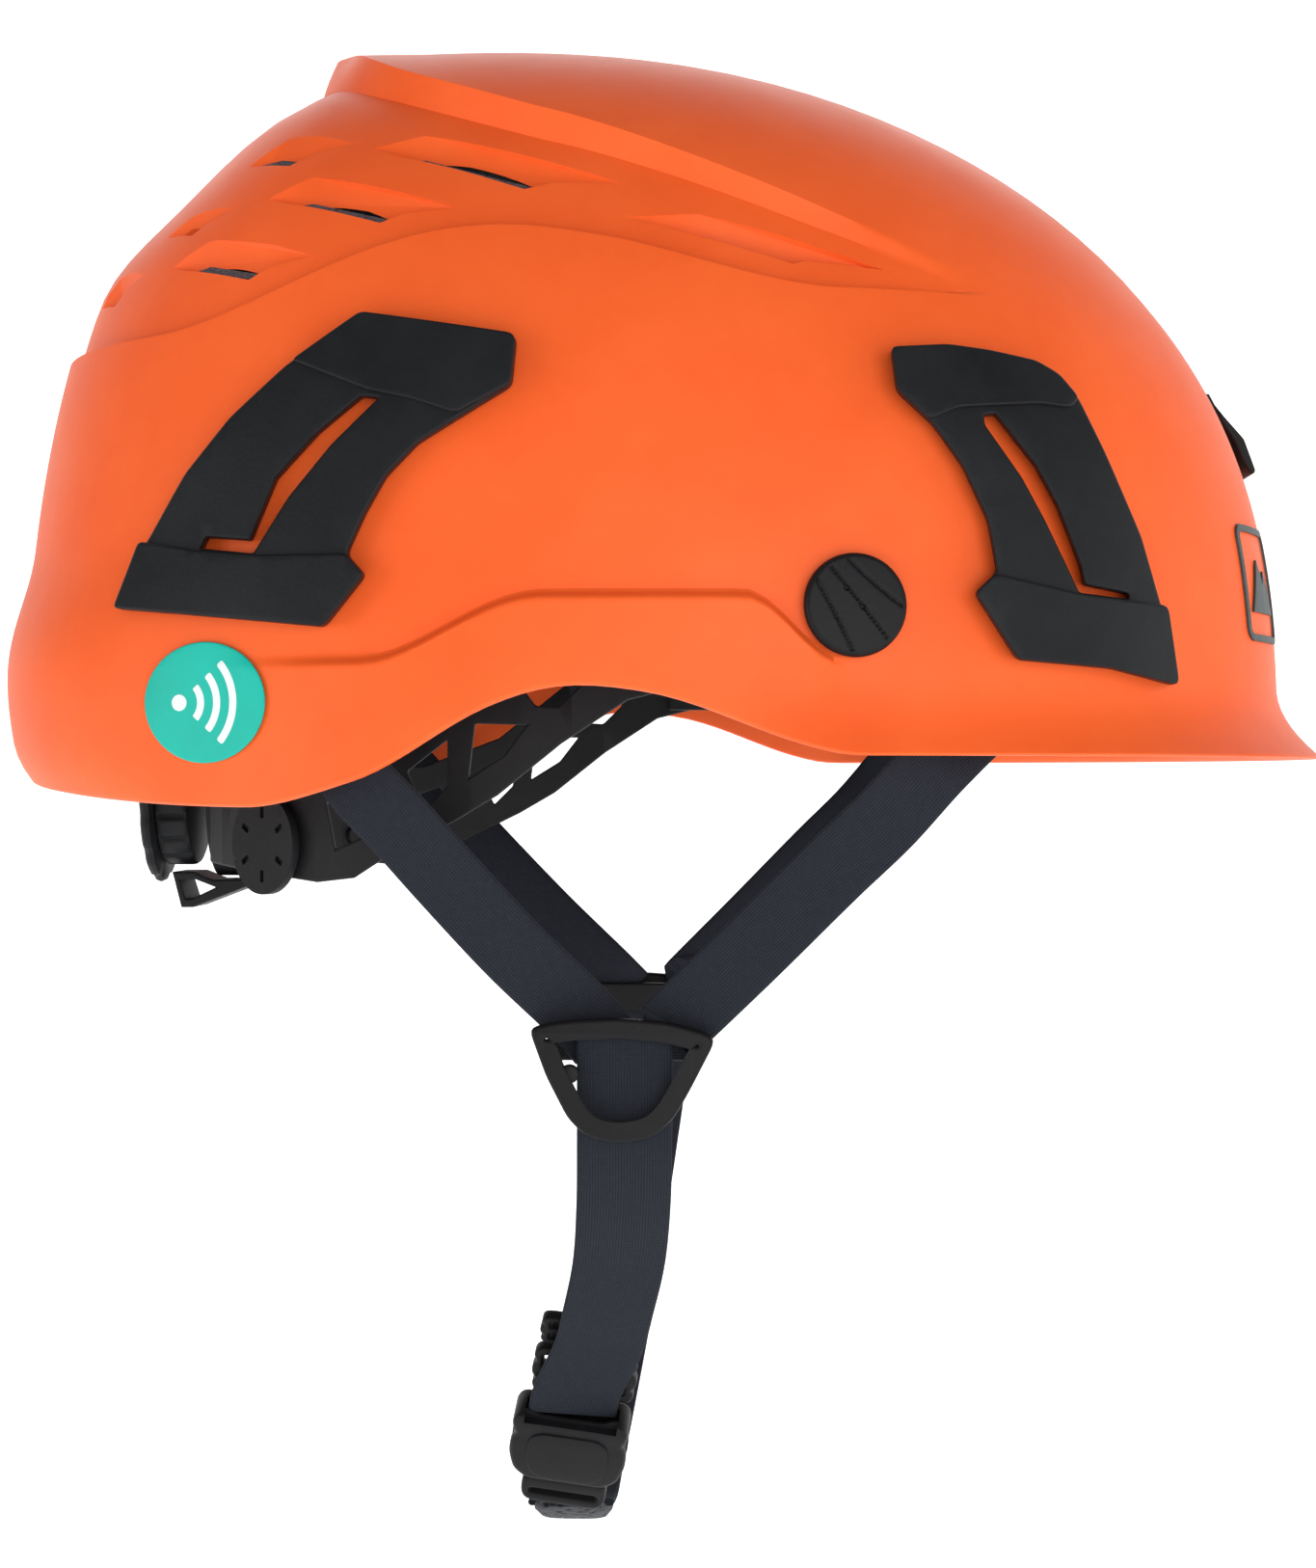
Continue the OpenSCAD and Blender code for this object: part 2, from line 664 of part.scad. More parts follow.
module rack_right() {
  mirrored() rack(axle_z - 12.3, axle_z - 7.9);
}

module along_x(x, r, h) {
  translate([x, 0, axle_z]) rotate([0, 90, 0]) cylinder(r = r, h = h);
}

module ratchet_housing() {
  color("black") difference() {
    along_x(-97.5, housing_r, 6.4);
    along_x(-95.9, 9.4, 10);
    along_x(-100, 3.55, 10);
    for (z = [axle_z + 9.7, axle_z - 9.7]) translate([-95.2, -30, z - 3.2]) cube([10, 60, 6.4]);
  }
}

module ratchet_cover() {
  color("black") along_x(-91, housing_r - 0.6, 1.2);
}

// Angled guard below the knob
module knob_guard() {
  color("black") translate([0, 9, 0]) rotate([90, 0, 0]) linear_extrude(18) difference() {
    polygon([
      [-88.4, -12], [-88.4, -26], [-90, -27.8], [-102, -32.4], [-104.6, -32.4], [-106.6, -24.6],
      [-102, -24.6], [-97.5, -26.4], [-91, -26.2], [-89.5, -25], [-89.5, -12]
    ]);
    polygon([[-97, -28], [-101.6, -26.2], [-105, -26.2], [-103.6, -30.6], [-102.4, -30.6]]);
  }
}

module nape_pad() {
  color("dimgray") band_strip(158, 202, -14.6, 6, -26, 8, rear_share, 5.5);
}

module knob() {
  color("black") {
    difference() {
      along_x(-109.3, knob_r, 7.3);
      for (k = [0:17]) translate([-106, 0, axle_z]) rotate([k * 20, 0, 0])
        translate([0, 0, knob_r + 0.5]) cube([8, 1.6, 2.4], center = true);
    }
    along_x(-102.1, 3.5, 9.6);
  }
}

module knob_face() {
  color("black") along_x(-112.3, 20, 2.3);
}

module pinion() {
  color("silver") difference() {
    union() {
      along_x(-95.6, 5.4, 4.2);
      for (k = [0:11]) translate([-93.5, 0, axle_z]) rotate([k * 30, 0, 0])
        translate([0, 0, 5.9]) cube([4.2, 1.1, 1.6], center = true);
    }
    along_x(-100, 3.6, 20);
  }
}

// ---------------------------------------------------------------- harness

module anchor(angle) {
  color("black") on_dome(angle, 9, low_out(angle, 9) - shell_wall) translate([0, 0, -4.2]) difference() {
    translate([-11.5, -5, 0]) cube([23, 11, 2.4]);
    translate([-9.8, -2.5, -1]) cube([19.6, 3, 5]);
  }
}

module anchor_front_left() {
  anchor(anchor_front);
}

module anchor_front_right() {
  mirrored() anchor(anchor_front);
}

module anchor_rear_left() {
  anchor(anchor_rear_slack);
}

module anchor_rear_right() {
  mirrored() anchor(anchor_rear);
}

module webbing(path, normals, width) {
  color("darkslategray") ribbon(path, normals, width, web_t);
}

module strap_front_left() {
  path = [
    dome(anchor_front, 8, -8), [56.5, 90, -1.2], [47, 86, -12], [36.3, 81, -22.5], [21, 75, -38],
    [6.6, yoke_y - 2.2, -52.3], [5.4, yoke_y - 2.3, -53.7]
  ];
  webbing(path, [for (k = [0:6]) unit([0.35 - 0.05 * k, 1, 0.1])], upper_w);
}

module strap_front_right() {
  mirrored() strap_front_left();
}

// Rear strap, which leans back with height when it is worn slacker
module rear_strap(angle, slack) {
  route = [
    dome(angle, 8, -8), [-55.5, 90, -3.5], [-47, 87, -13.2], [-38.5, 82, -23.4], [-26, 75, -37.8],
    [-13.6, yoke_y - 3.6, -50.8], [-8.6, yoke_y - 4.2, -56.6]
  ];
  path = [route[0], for (k = [1:6]) route[k] - [slack * (route[k].z - yoke_z) / 54, 0, 0]];
  webbing(path, [for (k = [0:6]) unit([-0.35 + 0.05 * k, 1, 0.1])], upper_w);
}

module strap_rear_left() {
  rear_strap(anchor_rear_slack, strap_slack);
}

module strap_rear_right() {
  mirrored() rear_strap(anchor_rear, 0);
}

YOKE = [
  [-22.9, 9.9], [-21.5, 11], [-15.2, 12], [-5.4, 12.5], [4.5, 11.7], [12.4, 9.5], [13.8, 7.9],
  [8.9, -1.6], [5.6, -7.4], [1.5, -11], [-5.4, -12.2], [-11.4, -11], [-15.2, -7.6], [-19.6, 0.9]
];

// Rounded triangle that gathers the front and rear straps, with a bar behind them
module yoke_left() {
  color("black") translate([0, yoke_y + 3.2, yoke_z]) rotate([90, 0, 0]) {
    linear_extrude(2.8) difference() {
      polygon(YOKE);
      offset(1) offset(-4) polygon(YOKE);
    }
    translate([-19.9, 3.4, 8.6]) cube([30.9, 7, 1.8]);
    for (x = [-19.9, 9.3]) translate([x, 3.4, 0.4]) cube([1.3, 2.2, 9]);
  }
}

module yoke_right() {
  mirrored() yoke_left();
}

module chin_strap_right() {
  path = [
    [-4.2, 0.5 - yoke_y, -54.5], [-4.3, -68, -76], [-4.8, -61.5, -90], [-6.2, -51, -103],
    [-8.8, -42, -114.5], [-11, -34.2, -124], [-16.2, -27.6, -134.4]
  ];
  tilts = [
    [0, -1, 0], [0, -1, -0.2], [0.05, -1, -0.5], [0.1, -1, -0.7], [0.12, -1, -0.7], [0.12, -1, -0.65],
    [0.12, -1, -0.6]
  ];
  webbing(path, tilts, web_w);
}

module chin_strap_left() {
  path = [
    [-18.9, -6.5, -163], [-18.5, 6, -163.6], [-17.6, 19, -158], [-15.2, 31, -146],
    [-12.2, 43, -129], [-9.4, 54, -109], [-7, 62, -92], [-5, 67.5, -76], [-4.2, yoke_y - 0.5, -54.5]
  ];
  tilts = [
    [0, -0.3, -1], [0, 0.1, -1], [0, 0.5, -0.8], [0.1, 0.8, -0.6], [0.1, 1, -0.5], [0.05, 1, -0.4],
    [0, 1, -0.3], [0, 1, -0.1], [0, 1, 0]
  ];
  webbing(path, tilts, web_w);
}

module at_buckle() {
  translate(buckle_at) rotate(buckle_tilt) children();
}

// Ladder lock with two slots. It lies on the strap's inner face.
module ladder(from, high, side) {
  color("black") at_buckle() translate([0, 0.7, from]) difference() {
    translate([-side, 0, 0]) cube([2 * side, 3.2, high]);
    for (z = [0.16, 0.58]) translate([2 - side, -1, z * high]) cube([2 * side - 4, 6, 0.26 * high]);
  }
}

module strap_adjuster() {
  ladder(11.5, 12, 12);
}

module strap_keeper() {
  ladder(25, 7, 11);
}

// Female half, open below, with a slot for each side button
module buckle_socket() {
  color("black") at_buckle() difference() {
    hull() for (x = [-1, 1], z = [-1, 1])
      translate([x * (buckle_w / 2 - 3), 4, z * 5.8]) rotate([90, 0, 0]) cylinder(r = 3, h = 9, $fn = 32);
    translate([-buckle_w / 2 + 1.8, -3.4, -10]) cube([buckle_w - 3.6, 6, 16.6]);
    translate([-20, -2.6, -12]) cube([40, 3.6, 16]);
    translate([-web_w / 2 - 0.5, -2.6, 0]) cube([web_w + 1, 3.6, 12]);
  }
}

// Male half: the bar that the strap turns round and the guide tongue between the prongs
module buckle_insert() {
  color("black") at_buckle() {
    difference() {
      translate([-11.5, -3.4, -17]) cube([23, 5.2, 7.6]);
      translate([-9.8, -5, -14.6]) cube([19.6, 10, 2.6]);
    }
    translate([-2.2, -2.2, -9.4]) cube([4.4, 2.8, 13]);
  }
}

// Sprung side button on its leg
module prong(side) {
  color("black") at_buckle() translate([0, -2.1, 0]) rotate([90, 0, 0]) mirror([side, 0, 0])
    translate([0, 0, -2.6]) linear_extrude(2.6)
      polygon([[5.4, -9], [8.2, -9], [9.4, -4.4], [12, -4], [12.2, 2], [10, 3.6], [8.4, 2.6], [6.4, -6]]);
}

module prong_front() {
  prong(0);
}

module prong_rear() {
  prong(1);
}

module chin_pad() {
  color("dimgray") ribbon(
    [[-18.9, -9, -166.1], [-18.6, 4, -167.1], [-17.9, 16.2, -163.3], [-16.4, 26.4, -155]],
    [[0, -0.25, -1], [0, 0.1, -1], [0, 0.5, -0.8], [0, 0.75, -0.65]], web_w - 2, 3);
}

// ---------------------------------------------------------------- assembly

shell();
liner();
vent_mesh_left();
vent_mesh_right();
crown_pad();
side_pads();
emblem();
tag_disc();
lamp_hook();
clip_front_left();
clip_front_right();
clip_rear_left();
clip_rear_right();
plug_socket_left();
plug_socket_right();
plug_left();
plug_right();
headband();
headband_posts();
brow_pad();
pivot_pin_left();
pivot_pin_right();
arm_left();
arm_right();
size_disc_left();
size_disc_right();
rack_left();
rack_right();
ratchet_housing();
ratchet_cover();
knob_guard();
nape_pad();
knob();
knob_face();
pinion();
anchor_front_left();
anchor_front_right();
anchor_rear_left();
anchor_rear_right();
strap_front_left();
strap_front_right();
strap_rear_left();
strap_rear_right();
yoke_left();
yoke_right();
chin_strap_left();
chin_strap_right();
strap_adjuster();
strap_keeper();
buckle_socket();
buckle_insert();
prong_front();
prong_rear();
chin_pad();
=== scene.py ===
"""Looks of the climbing helmet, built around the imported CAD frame. Shapes are drawn in millimetres and
brought to the frame's metres by MM. +X is forward, +Y the wearer's left and +Z up."""
import json
import math

import bmesh
import bpy
from mathutils import Matrix, Vector


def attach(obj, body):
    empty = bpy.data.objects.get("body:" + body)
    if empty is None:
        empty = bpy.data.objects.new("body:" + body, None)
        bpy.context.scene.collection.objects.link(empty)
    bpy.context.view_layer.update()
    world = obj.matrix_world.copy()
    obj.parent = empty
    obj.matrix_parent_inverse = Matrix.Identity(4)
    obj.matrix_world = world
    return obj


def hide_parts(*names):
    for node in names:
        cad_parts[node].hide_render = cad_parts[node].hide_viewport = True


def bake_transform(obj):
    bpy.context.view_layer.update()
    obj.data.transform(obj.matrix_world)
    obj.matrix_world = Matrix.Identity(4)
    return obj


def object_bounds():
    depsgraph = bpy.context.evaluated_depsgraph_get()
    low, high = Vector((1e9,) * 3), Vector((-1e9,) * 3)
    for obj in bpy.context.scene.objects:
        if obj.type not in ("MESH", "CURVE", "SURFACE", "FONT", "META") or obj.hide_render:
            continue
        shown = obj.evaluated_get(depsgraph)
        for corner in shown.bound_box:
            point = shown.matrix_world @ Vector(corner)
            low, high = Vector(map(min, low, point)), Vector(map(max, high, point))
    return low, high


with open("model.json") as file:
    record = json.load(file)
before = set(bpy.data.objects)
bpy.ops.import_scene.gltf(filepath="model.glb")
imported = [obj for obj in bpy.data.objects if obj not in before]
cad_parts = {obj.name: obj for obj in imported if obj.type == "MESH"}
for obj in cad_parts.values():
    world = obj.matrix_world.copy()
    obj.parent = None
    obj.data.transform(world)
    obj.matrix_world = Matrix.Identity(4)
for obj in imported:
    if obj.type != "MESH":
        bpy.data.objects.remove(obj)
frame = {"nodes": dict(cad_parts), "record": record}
cad_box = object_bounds()

MM = 0.001
NODES = frame["nodes"]

# ---------------------------------------------------------------- shape of the dome, as in the design

FRONT_LENGTH, REAR_LENGTH, HALF_WIDTH = 134.5, 137.8, 106.0
CROWN_HEIGHT, CROWN_BACK, REAR_FLAT = 150.7, 32.7, 5.8
DOME_POWER, PLAN_POWER = 2.48, 2.2
WALL, PANEL_RECESS, CROWN_RISE = 2.6, 2.2, 2.4
FLANGE_OUT, BRIM_OUT, NAPE_OUT, EAR_ARCH, NAPE_DROP = 2.4, 9.4, 3.9, 13.0, 9.8
PANEL_WALL = WALL + PANEL_RECESS
LINER_GAP, LINER_THICK = 0.8, 13.0


def cos_d(angle):
    return math.cos(math.radians(angle))


def sin_d(angle):
    return math.sin(math.radians(angle))


def signed_pow(value, power):
    return math.copysign(abs(value) ** power, value)


def ramp(value, low, high):
    return min(1.0, max(0.0, (value - low) / (high - low)))


def ease(value, low, high):
    share = ramp(value, low, high)
    return share * share * (3 - 2 * share)


def hump(value, middle, reach):
    if abs(value - middle) >= reach:
        return 0.0
    return cos_d(90 * (value - middle) / reach) ** 2


def dome(angle, z, out):
    """Point in millimetres at an angle from the front, at a height, out from the plain dome."""
    rise = max(0.0, z) / CROWN_HEIGHT
    shrink = max(0.0, 1 - rise ** DOME_POWER) ** (1 / DOME_POWER)
    x = signed_pow(cos_d(angle), 2 / PLAN_POWER)
    y = signed_pow(sin_d(angle), 2 / PLAN_POWER)
    length = FRONT_LENGTH if x > 0 else REAR_LENGTH
    return Vector((
        (length + out) * shrink * x - CROWN_BACK * rise ** 3.3,
        (HALF_WIDTH + out) * shrink * y,
        z + out * rise,
    ))


def fold(angle):
    """The angle from the front, the same on both sides."""
    angle = abs(angle) % 360
    return 360 - angle if angle > 180 else angle


def rim_z(a):
    arch = EAR_ARCH * hump(a, 93.5, 19.5 if a < 93.5 else 17.5)
    return arch - NAPE_DROP * ease(a, 100, 122) * (1 - 0.5 * ease(a, 120, 180))


def flange_z(a):
    return 18 + 12 * ease(a, 76, 83) * (1 - ease(a, 96, 110))


def seam_z(a):
    return 90 - 5.5 * ease(a, 100, 140) + 12.8 * hump(a, 98, 28 if a < 98 else 38)


def crown_z(a):
    return max(seam_z(a) + 3.5, 91 + 54.5 * sin_d(90 * ramp(a, 55, 142)) ** 0.9 + 1.9 * ease(a, 136, 162))


def liner_z(a):
    return 17 + 9 * hump(a, 92, 26)


def step_half(a):
    """Half the height of the step up to the crown panel, sharper at the rear."""
    return 1.6 * (1 - 0.7 * ease(a, 128, 160))


def flat_back(a, z):
    return REAR_FLAT * hump(z, 130, 32.5) * ease(a, 120, 165)


def low_out(a, z):
    """How far the nape flare, the brim, the ear flange and the flat back stand off the plain dome."""
    nape = NAPE_OUT * hump(z, 18, 34 if z < 18 else 27) * ease(a, 112, 150)
    brim = (BRIM_OUT - 5.5 * ease(a, 25, 75)) * (1 - ease(a, 75, 95)) * (1 - ramp(z, 0, 15)) ** 2
    ear = FLANGE_OUT * ease(a, 75.5, 78) * (1 - ease(a, 107, 125))
    flange = ear * (1 - ease(z, flange_z(a) - 1.4, flange_z(a) + 1.2))
    tuck = 3 * (1 - ramp(z, rim_z(a), rim_z(a) + 9)) ** 2 * ease(a, 115, 150)
    return nape + brim + flange - flat_back(a, z) - tuck


def panel_out(a, z):
    """How far the vented panel and the crown panel stand off the plain dome."""
    vented = -PANEL_RECESS * ease(a, 52, 72) * ease(z, seam_z(a) - 0.1, seam_z(a) + 0.5)
    raised = CROWN_RISE * ease(a, 56, 100) * (1 + 0.4 * ease(a, 105, 125)) + flat_back(a, z)
    over = ramp(z, crown_z(a) - step_half(a), crown_z(a) + step_half(a))
    to_top = ramp(z, crown_z(a) + step_half(a), CROWN_HEIGHT)
    return vented * (1 - over) + over * (raised * (1 - to_top) + CROWN_RISE * 0.6 * to_top)


def near_top(z, share):
    """Height at a share of the way from z to the crown, closer together near the top."""
    turn = math.degrees(math.asin((z / CROWN_HEIGHT) ** (DOME_POWER / 2)))
    return CROWN_HEIGHT * sin_d(turn + (90 - turn) * share) ** (2 / DOME_POWER)


def shell_depth(a, z):
    deeper = (PANEL_WALL - WALL) * ease(z, seam_z(a) - 14, seam_z(a) - 2)
    return low_out(a, z) - WALL - deeper


def on_dome(angle, z, out=0.0):
    """Frame on the dome: X to the right and Y up as seen from outside, Z outward. Millimetres."""
    here = dome(angle, z, out)
    right = (dome(angle + 0.5, z, out) - dome(angle - 0.5, z, out)).normalized()
    rise = dome(angle, z + 0.5, out) - dome(angle, z - 0.5, out)
    normal = right.cross(rise).normalized()
    up = normal.cross(right)
    turn = Matrix((right, up, normal)).transposed().to_4x4()
    return Matrix.Translation(here) @ turn


def spread(low, high, count):
    return [low + (high - low) * i / (count - 1) for i in range(count)]


# ---------------------------------------------------------------- materials

def colour(r, g, b):
    """Screen colour from 0 to 255 as the linear colour that shaders take."""
    def linear(c):
        c /= 255
        return c / 12.92 if c <= 0.04045 else ((c + 0.055) / 1.055) ** 2.4
    return (linear(r), linear(g), linear(b), 1.0)


class Shader:
    """A material's node tree, with short calls for the nodes that the recipes below use."""

    def __init__(self, name):
        self.material = bpy.data.materials.new(name)
        self.material.use_nodes = True
        self.tree = self.material.node_tree
        self.principled = self.tree.nodes["Principled BSDF"]
        self.place = self.node("ShaderNodeTexCoord").outputs["Object"]

    def node(self, kind, **settings):
        made = self.tree.nodes.new(kind)
        for key, value in settings.items():
            setattr(made, key, value)
        return made

    def link(self, source, target):
        self.tree.links.new(source, target)

    def set(self, **values):
        for name, value in values.items():
            self.principled.inputs[name.replace("_", " ")].default_value = value

    def scaled(self, source, scale):
        mapping = self.node("ShaderNodeMapping")
        mapping.inputs["Scale"].default_value = scale
        self.link(source, mapping.inputs["Vector"])
        return mapping.outputs["Vector"]

    def noise(self, scale, detail=4.0, roughness=0.5, source=None):
        made = self.node("ShaderNodeTexNoise")
        made.inputs["Scale"].default_value = scale
        made.inputs["Detail"].default_value = detail
        made.inputs["Roughness"].default_value = roughness
        self.link(source or self.place, made.inputs["Vector"])
        return made.outputs["Fac"]

    def cells(self, scale, feature="F1", source=None):
        made = self.node("ShaderNodeTexVoronoi", feature=feature)
        made.inputs["Scale"].default_value = scale
        self.link(source or self.place, made.inputs["Vector"])
        return made.outputs["Distance"]

    def bands(self, scale, direction, source, profile="SIN"):
        made = self.node("ShaderNodeTexWave", bands_direction=direction, wave_profile=profile)
        made.inputs["Scale"].default_value = scale
        made.inputs["Distortion"].default_value = 0.0
        self.link(source, made.inputs["Vector"])
        return made.outputs["Fac"]

    def math(self, operation, a, b):
        made = self.node("ShaderNodeMath", operation=operation)
        for socket, value in zip(made.inputs, (a, b)):
            if isinstance(value, (int, float)):
                socket.default_value = value
            else:
                self.link(value, socket)
        return made.outputs[0]

    def between(self, factor, low, high, dark, light):
        """Colour from dark to light as the factor goes from low to high."""
        made = self.node("ShaderNodeValToRGB")
        made.color_ramp.elements[0].position = low
        made.color_ramp.elements[0].color = dark
        made.color_ramp.elements[1].position = high
        made.color_ramp.elements[1].color = light
        self.link(factor, made.inputs["Fac"])
        return made.outputs["Color"]

    def remap(self, factor, low, high):
        made = self.node("ShaderNodeMapRange")
        made.inputs["To Min"].default_value = low
        made.inputs["To Max"].default_value = high
        self.link(factor, made.inputs["Value"])
        return made.outputs["Result"]

    def bump(self, height, distance, strength=1.0, under=None):
        made = self.node("ShaderNodeBump")
        made.inputs["Distance"].default_value = distance
        made.inputs["Strength"].default_value = strength
        self.link(height, made.inputs["Height"])
        if under is not None:
            self.link(under, made.inputs["Normal"])
        return made.outputs["Normal"]

    def finish(self, base=None, rough=None, normal=None):
        if base is not None:
            self.link(base, self.principled.inputs["Base Color"])
        if rough is not None:
            self.link(rough, self.principled.inputs["Roughness"])
        if normal is not None:
            self.link(normal, self.principled.inputs["Normal"])
        return self.material


def orange_plastic():
    """Satin moulded plastic with faint mottling, a fine orange-peel surface and light scuffs."""
    s = Shader("orange_plastic")
    mottle = s.noise(35, 5, 0.6)
    base = s.between(mottle, 0.3, 0.7, colour(243, 94, 36), colour(250, 103, 44))
    grain = s.noise(900, 3, 0.5)
    peel = s.noise(210, 2, 0.4)
    rough = s.remap(s.noise(60, 4, 0.6), 0.42, 0.55)
    normal = s.bump(grain, 0.00003, 0.5, s.bump(peel, 0.00008, 0.35))
    s.set(Specular_IOR_Level=0.22)
    return s.finish(base, rough, normal)


def black_plastic(name="black_plastic", shade=(30, 31, 33), rough_low=0.48, rough_high=0.62):
    """Spark-eroded moulded plastic: fine grain, and a little dust in it."""
    s = Shader(name)
    grain = s.cells(1100)
    dust = s.noise(45, 6, 0.65)
    darker = tuple(max(0, c - 5) for c in shade)
    lighter = tuple(c + 5 for c in shade)
    base = s.between(dust, 0.3, 0.75, colour(*darker), colour(*lighter))
    rough = s.remap(dust, rough_low, rough_high)
    normal = s.bump(grain, 0.00005, 0.5)
    s.set(Specular_IOR_Level=0.16)
    return s.finish(base, rough, normal)


def webbing(name="webbing", shade=(44, 47, 54)):
    """Woven polyester tape: ribs along and across it from its own measure, with a soft sheen."""
    s = Shader(name)
    measure = s.node("ShaderNodeUVMap", uv_map="tape").outputs["UV"]
    along = s.bands(0.7, "X", measure)
    across = s.bands(0.55, "Y", measure)
    weave = s.math("MULTIPLY", along, across)
    fuzz = s.noise(700, 4, 0.6)
    height = s.math("ADD", weave, s.math("MULTIPLY", fuzz, 0.35))
    darker = tuple(max(0, c - 14) for c in shade)
    base = s.between(height, 0.1, 1.1, colour(*darker), colour(*(c + 6 for c in shade)))
    s.set(Roughness=0.9, Specular_IOR_Level=0.1, Sheen_Weight=0.06, Sheen_Tint=colour(150, 155, 170))
    return s.finish(base, None, s.bump(height, 0.00012, 0.6))


def pad_cloth():
    """Brushed knit over foam."""
    s = Shader("pad_cloth")
    knit = s.cells(420)
    fuzz = s.noise(900, 5, 0.7)
    height = s.math("ADD", knit, s.math("MULTIPLY", fuzz, 0.5))
    base = s.between(height, 0.2, 1.0, colour(34, 35, 37), colour(58, 59, 62))
    s.set(Roughness=0.9, Specular_IOR_Level=0.15, Sheen_Weight=0.1, Sheen_Roughness=0.45)
    return s.finish(base, None, s.bump(height, 0.0004, 0.7))


def mesh_cloth():
    """Spacer mesh with small open cells."""
    s = Shader("mesh_cloth")
    holes = s.cells(520)
    base = s.between(holes, 0.2, 0.5, colour(20, 21, 23), colour(62, 64, 68))
    s.set(Roughness=0.85, Specular_IOR_Level=0.2, Sheen_Weight=0.05)
    return s.finish(base, None, s.bump(holes, 0.0006, 0.9))


def vent_screen():
    """Fine woven screen, lighter threads round dark holes."""
    s = Shader("vent_screen")
    holes = s.cells(1500)
    base = s.between(holes, 0.15, 0.5, colour(50, 48, 54), colour(96, 97, 104))
    s.set(Roughness=0.8, Specular_IOR_Level=0.2)
    return s.finish(base, None, s.bump(holes, 0.0003, 0.8))


def foam():
    """Expanded foam, with the outlines of its beads."""
    s = Shader("foam_beads")
    beads = s.cells(330, "DISTANCE_TO_EDGE")
    base = s.between(beads, 0.0, 0.12, colour(26, 27, 28), colour(47, 48, 50))
    rough = s.remap(beads, 0.9, 0.62)
    return s.finish(base, rough, s.bump(beads, 0.0006, 0.6))


def steel():
    s = Shader("steel")
    streaks = s.noise(200, 3, 0.5, s.scaled(s.place, (1, 12, 1)))
    base = s.between(streaks, 0.3, 0.7, colour(160, 163, 168), colour(196, 198, 202))
    s.set(Metallic=1.0)
    return s.finish(base, s.remap(streaks, 0.25, 0.4), s.bump(streaks, 0.00004, 0.4))


def teal_plastic():
    s = Shader("teal_plastic")
    mottle = s.noise(80, 4, 0.5)
    base = s.between(mottle, 0.3, 0.7, colour(8, 176, 157), colour(12, 187, 168))
    s.set(Specular_IOR_Level=0.25)
    return s.finish(base, s.remap(mottle, 0.35, 0.48), s.bump(s.noise(700), 0.00002, 0.5))


def printed_film(name, shade):
    s = Shader(name)
    grain = s.noise(500, 4, 0.6)
    darker = tuple(max(0, c - 8) for c in shade)
    base = s.between(grain, 0.35, 0.65, colour(*darker), colour(*shade))
    return s.finish(base, s.remap(grain, 0.45, 0.6), s.bump(grain, 0.00002, 0.5))


ORANGE = orange_plastic()
BLACK = black_plastic()
SATIN_BLACK = black_plastic("satin_black", (27, 28, 30), 0.42, 0.52)
BUCKLE_BLACK = black_plastic("buckle_black", (23, 23, 25), 0.4, 0.52)
WEBBING = webbing()
PAD = pad_cloth()
MESH_CLOTH = mesh_cloth()
VENT_SCREEN = vent_screen()
FOAM = foam()
STEEL = steel()
TEAL = teal_plastic()
BADGE_GREY = printed_film("badge_grey", (62, 72, 72))
PRINT_WHITE = printed_film("print_white", (236, 246, 244))

# ---------------------------------------------------------------- mesh helpers


def make_piece(name, points_mm, faces, material, body, replaces=(), sharp=35.0):
    """Mesh piece from points in millimetres, smooth except at edges sharper than an angle."""
    mesh = bpy.data.meshes.new(name)
    mesh.from_pydata([Vector(p) * MM for p in points_mm], [], faces)
    mesh.update()
    piece = bpy.data.objects.new(name, mesh)
    bpy.context.scene.collection.objects.link(piece)
    outward(mesh, 1e-6)
    smooth(piece, sharp)
    dress(piece, material, body, replaces)
    return piece


def smooth(piece, sharp=35.0):
    for face in piece.data.polygons:
        face.use_smooth = True
    piece.data.set_sharp_from_angle(angle=math.radians(sharp))


def dress(piece, material, body, replaces=()):
    piece.data.materials.clear()
    piece.data.materials.append(material)
    if replaces:
        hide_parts(*replaces)
    if body:
        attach(piece, body)


def grid_faces(columns, rows, ring, offset=0, flip=False):
    faces = []
    for i in range(columns if ring else columns - 1):
        j = (i + 1) % columns
        for k in range(rows - 1):
            face = (offset + i * rows + k, offset + j * rows + k,
                    offset + j * rows + k + 1, offset + i * rows + k + 1)
            faces.append(face[::-1] if flip else face)
    return faces


def loft(columns, ring, cap_start=False, cap_end=False):
    """Points and faces of a surface through columns of equal length. Caps close its first and last row."""
    rows = len(columns[0])
    points = [p for column in columns for p in column]
    faces = grid_faces(len(columns), rows, ring)
    if cap_start:
        faces.append(tuple(i * rows for i in range(len(columns))))
    if cap_end:
        faces.append(tuple(i * rows + rows - 1 for i in reversed(range(len(columns)))))
    return points, faces


def bevel(piece, width, segments=2, limit=30.0):
    made = piece.modifiers.new("edges", "BEVEL")
    made.width = width
    made.segments = segments
    made.limit_method = "ANGLE"
    made.angle_limit = math.radians(limit)
    made.harden_normals = False


def apply_modifiers(piece):
    bpy.context.view_layer.update()
    ready = piece.evaluated_get(bpy.context.evaluated_depsgraph_get())
    mesh = bpy.data.meshes.new_from_object(ready)
    piece.modifiers.clear()
    piece.data = mesh


def mirror_points(points):
    return [Vector((p[0], -p[1], p[2])) for p in points]


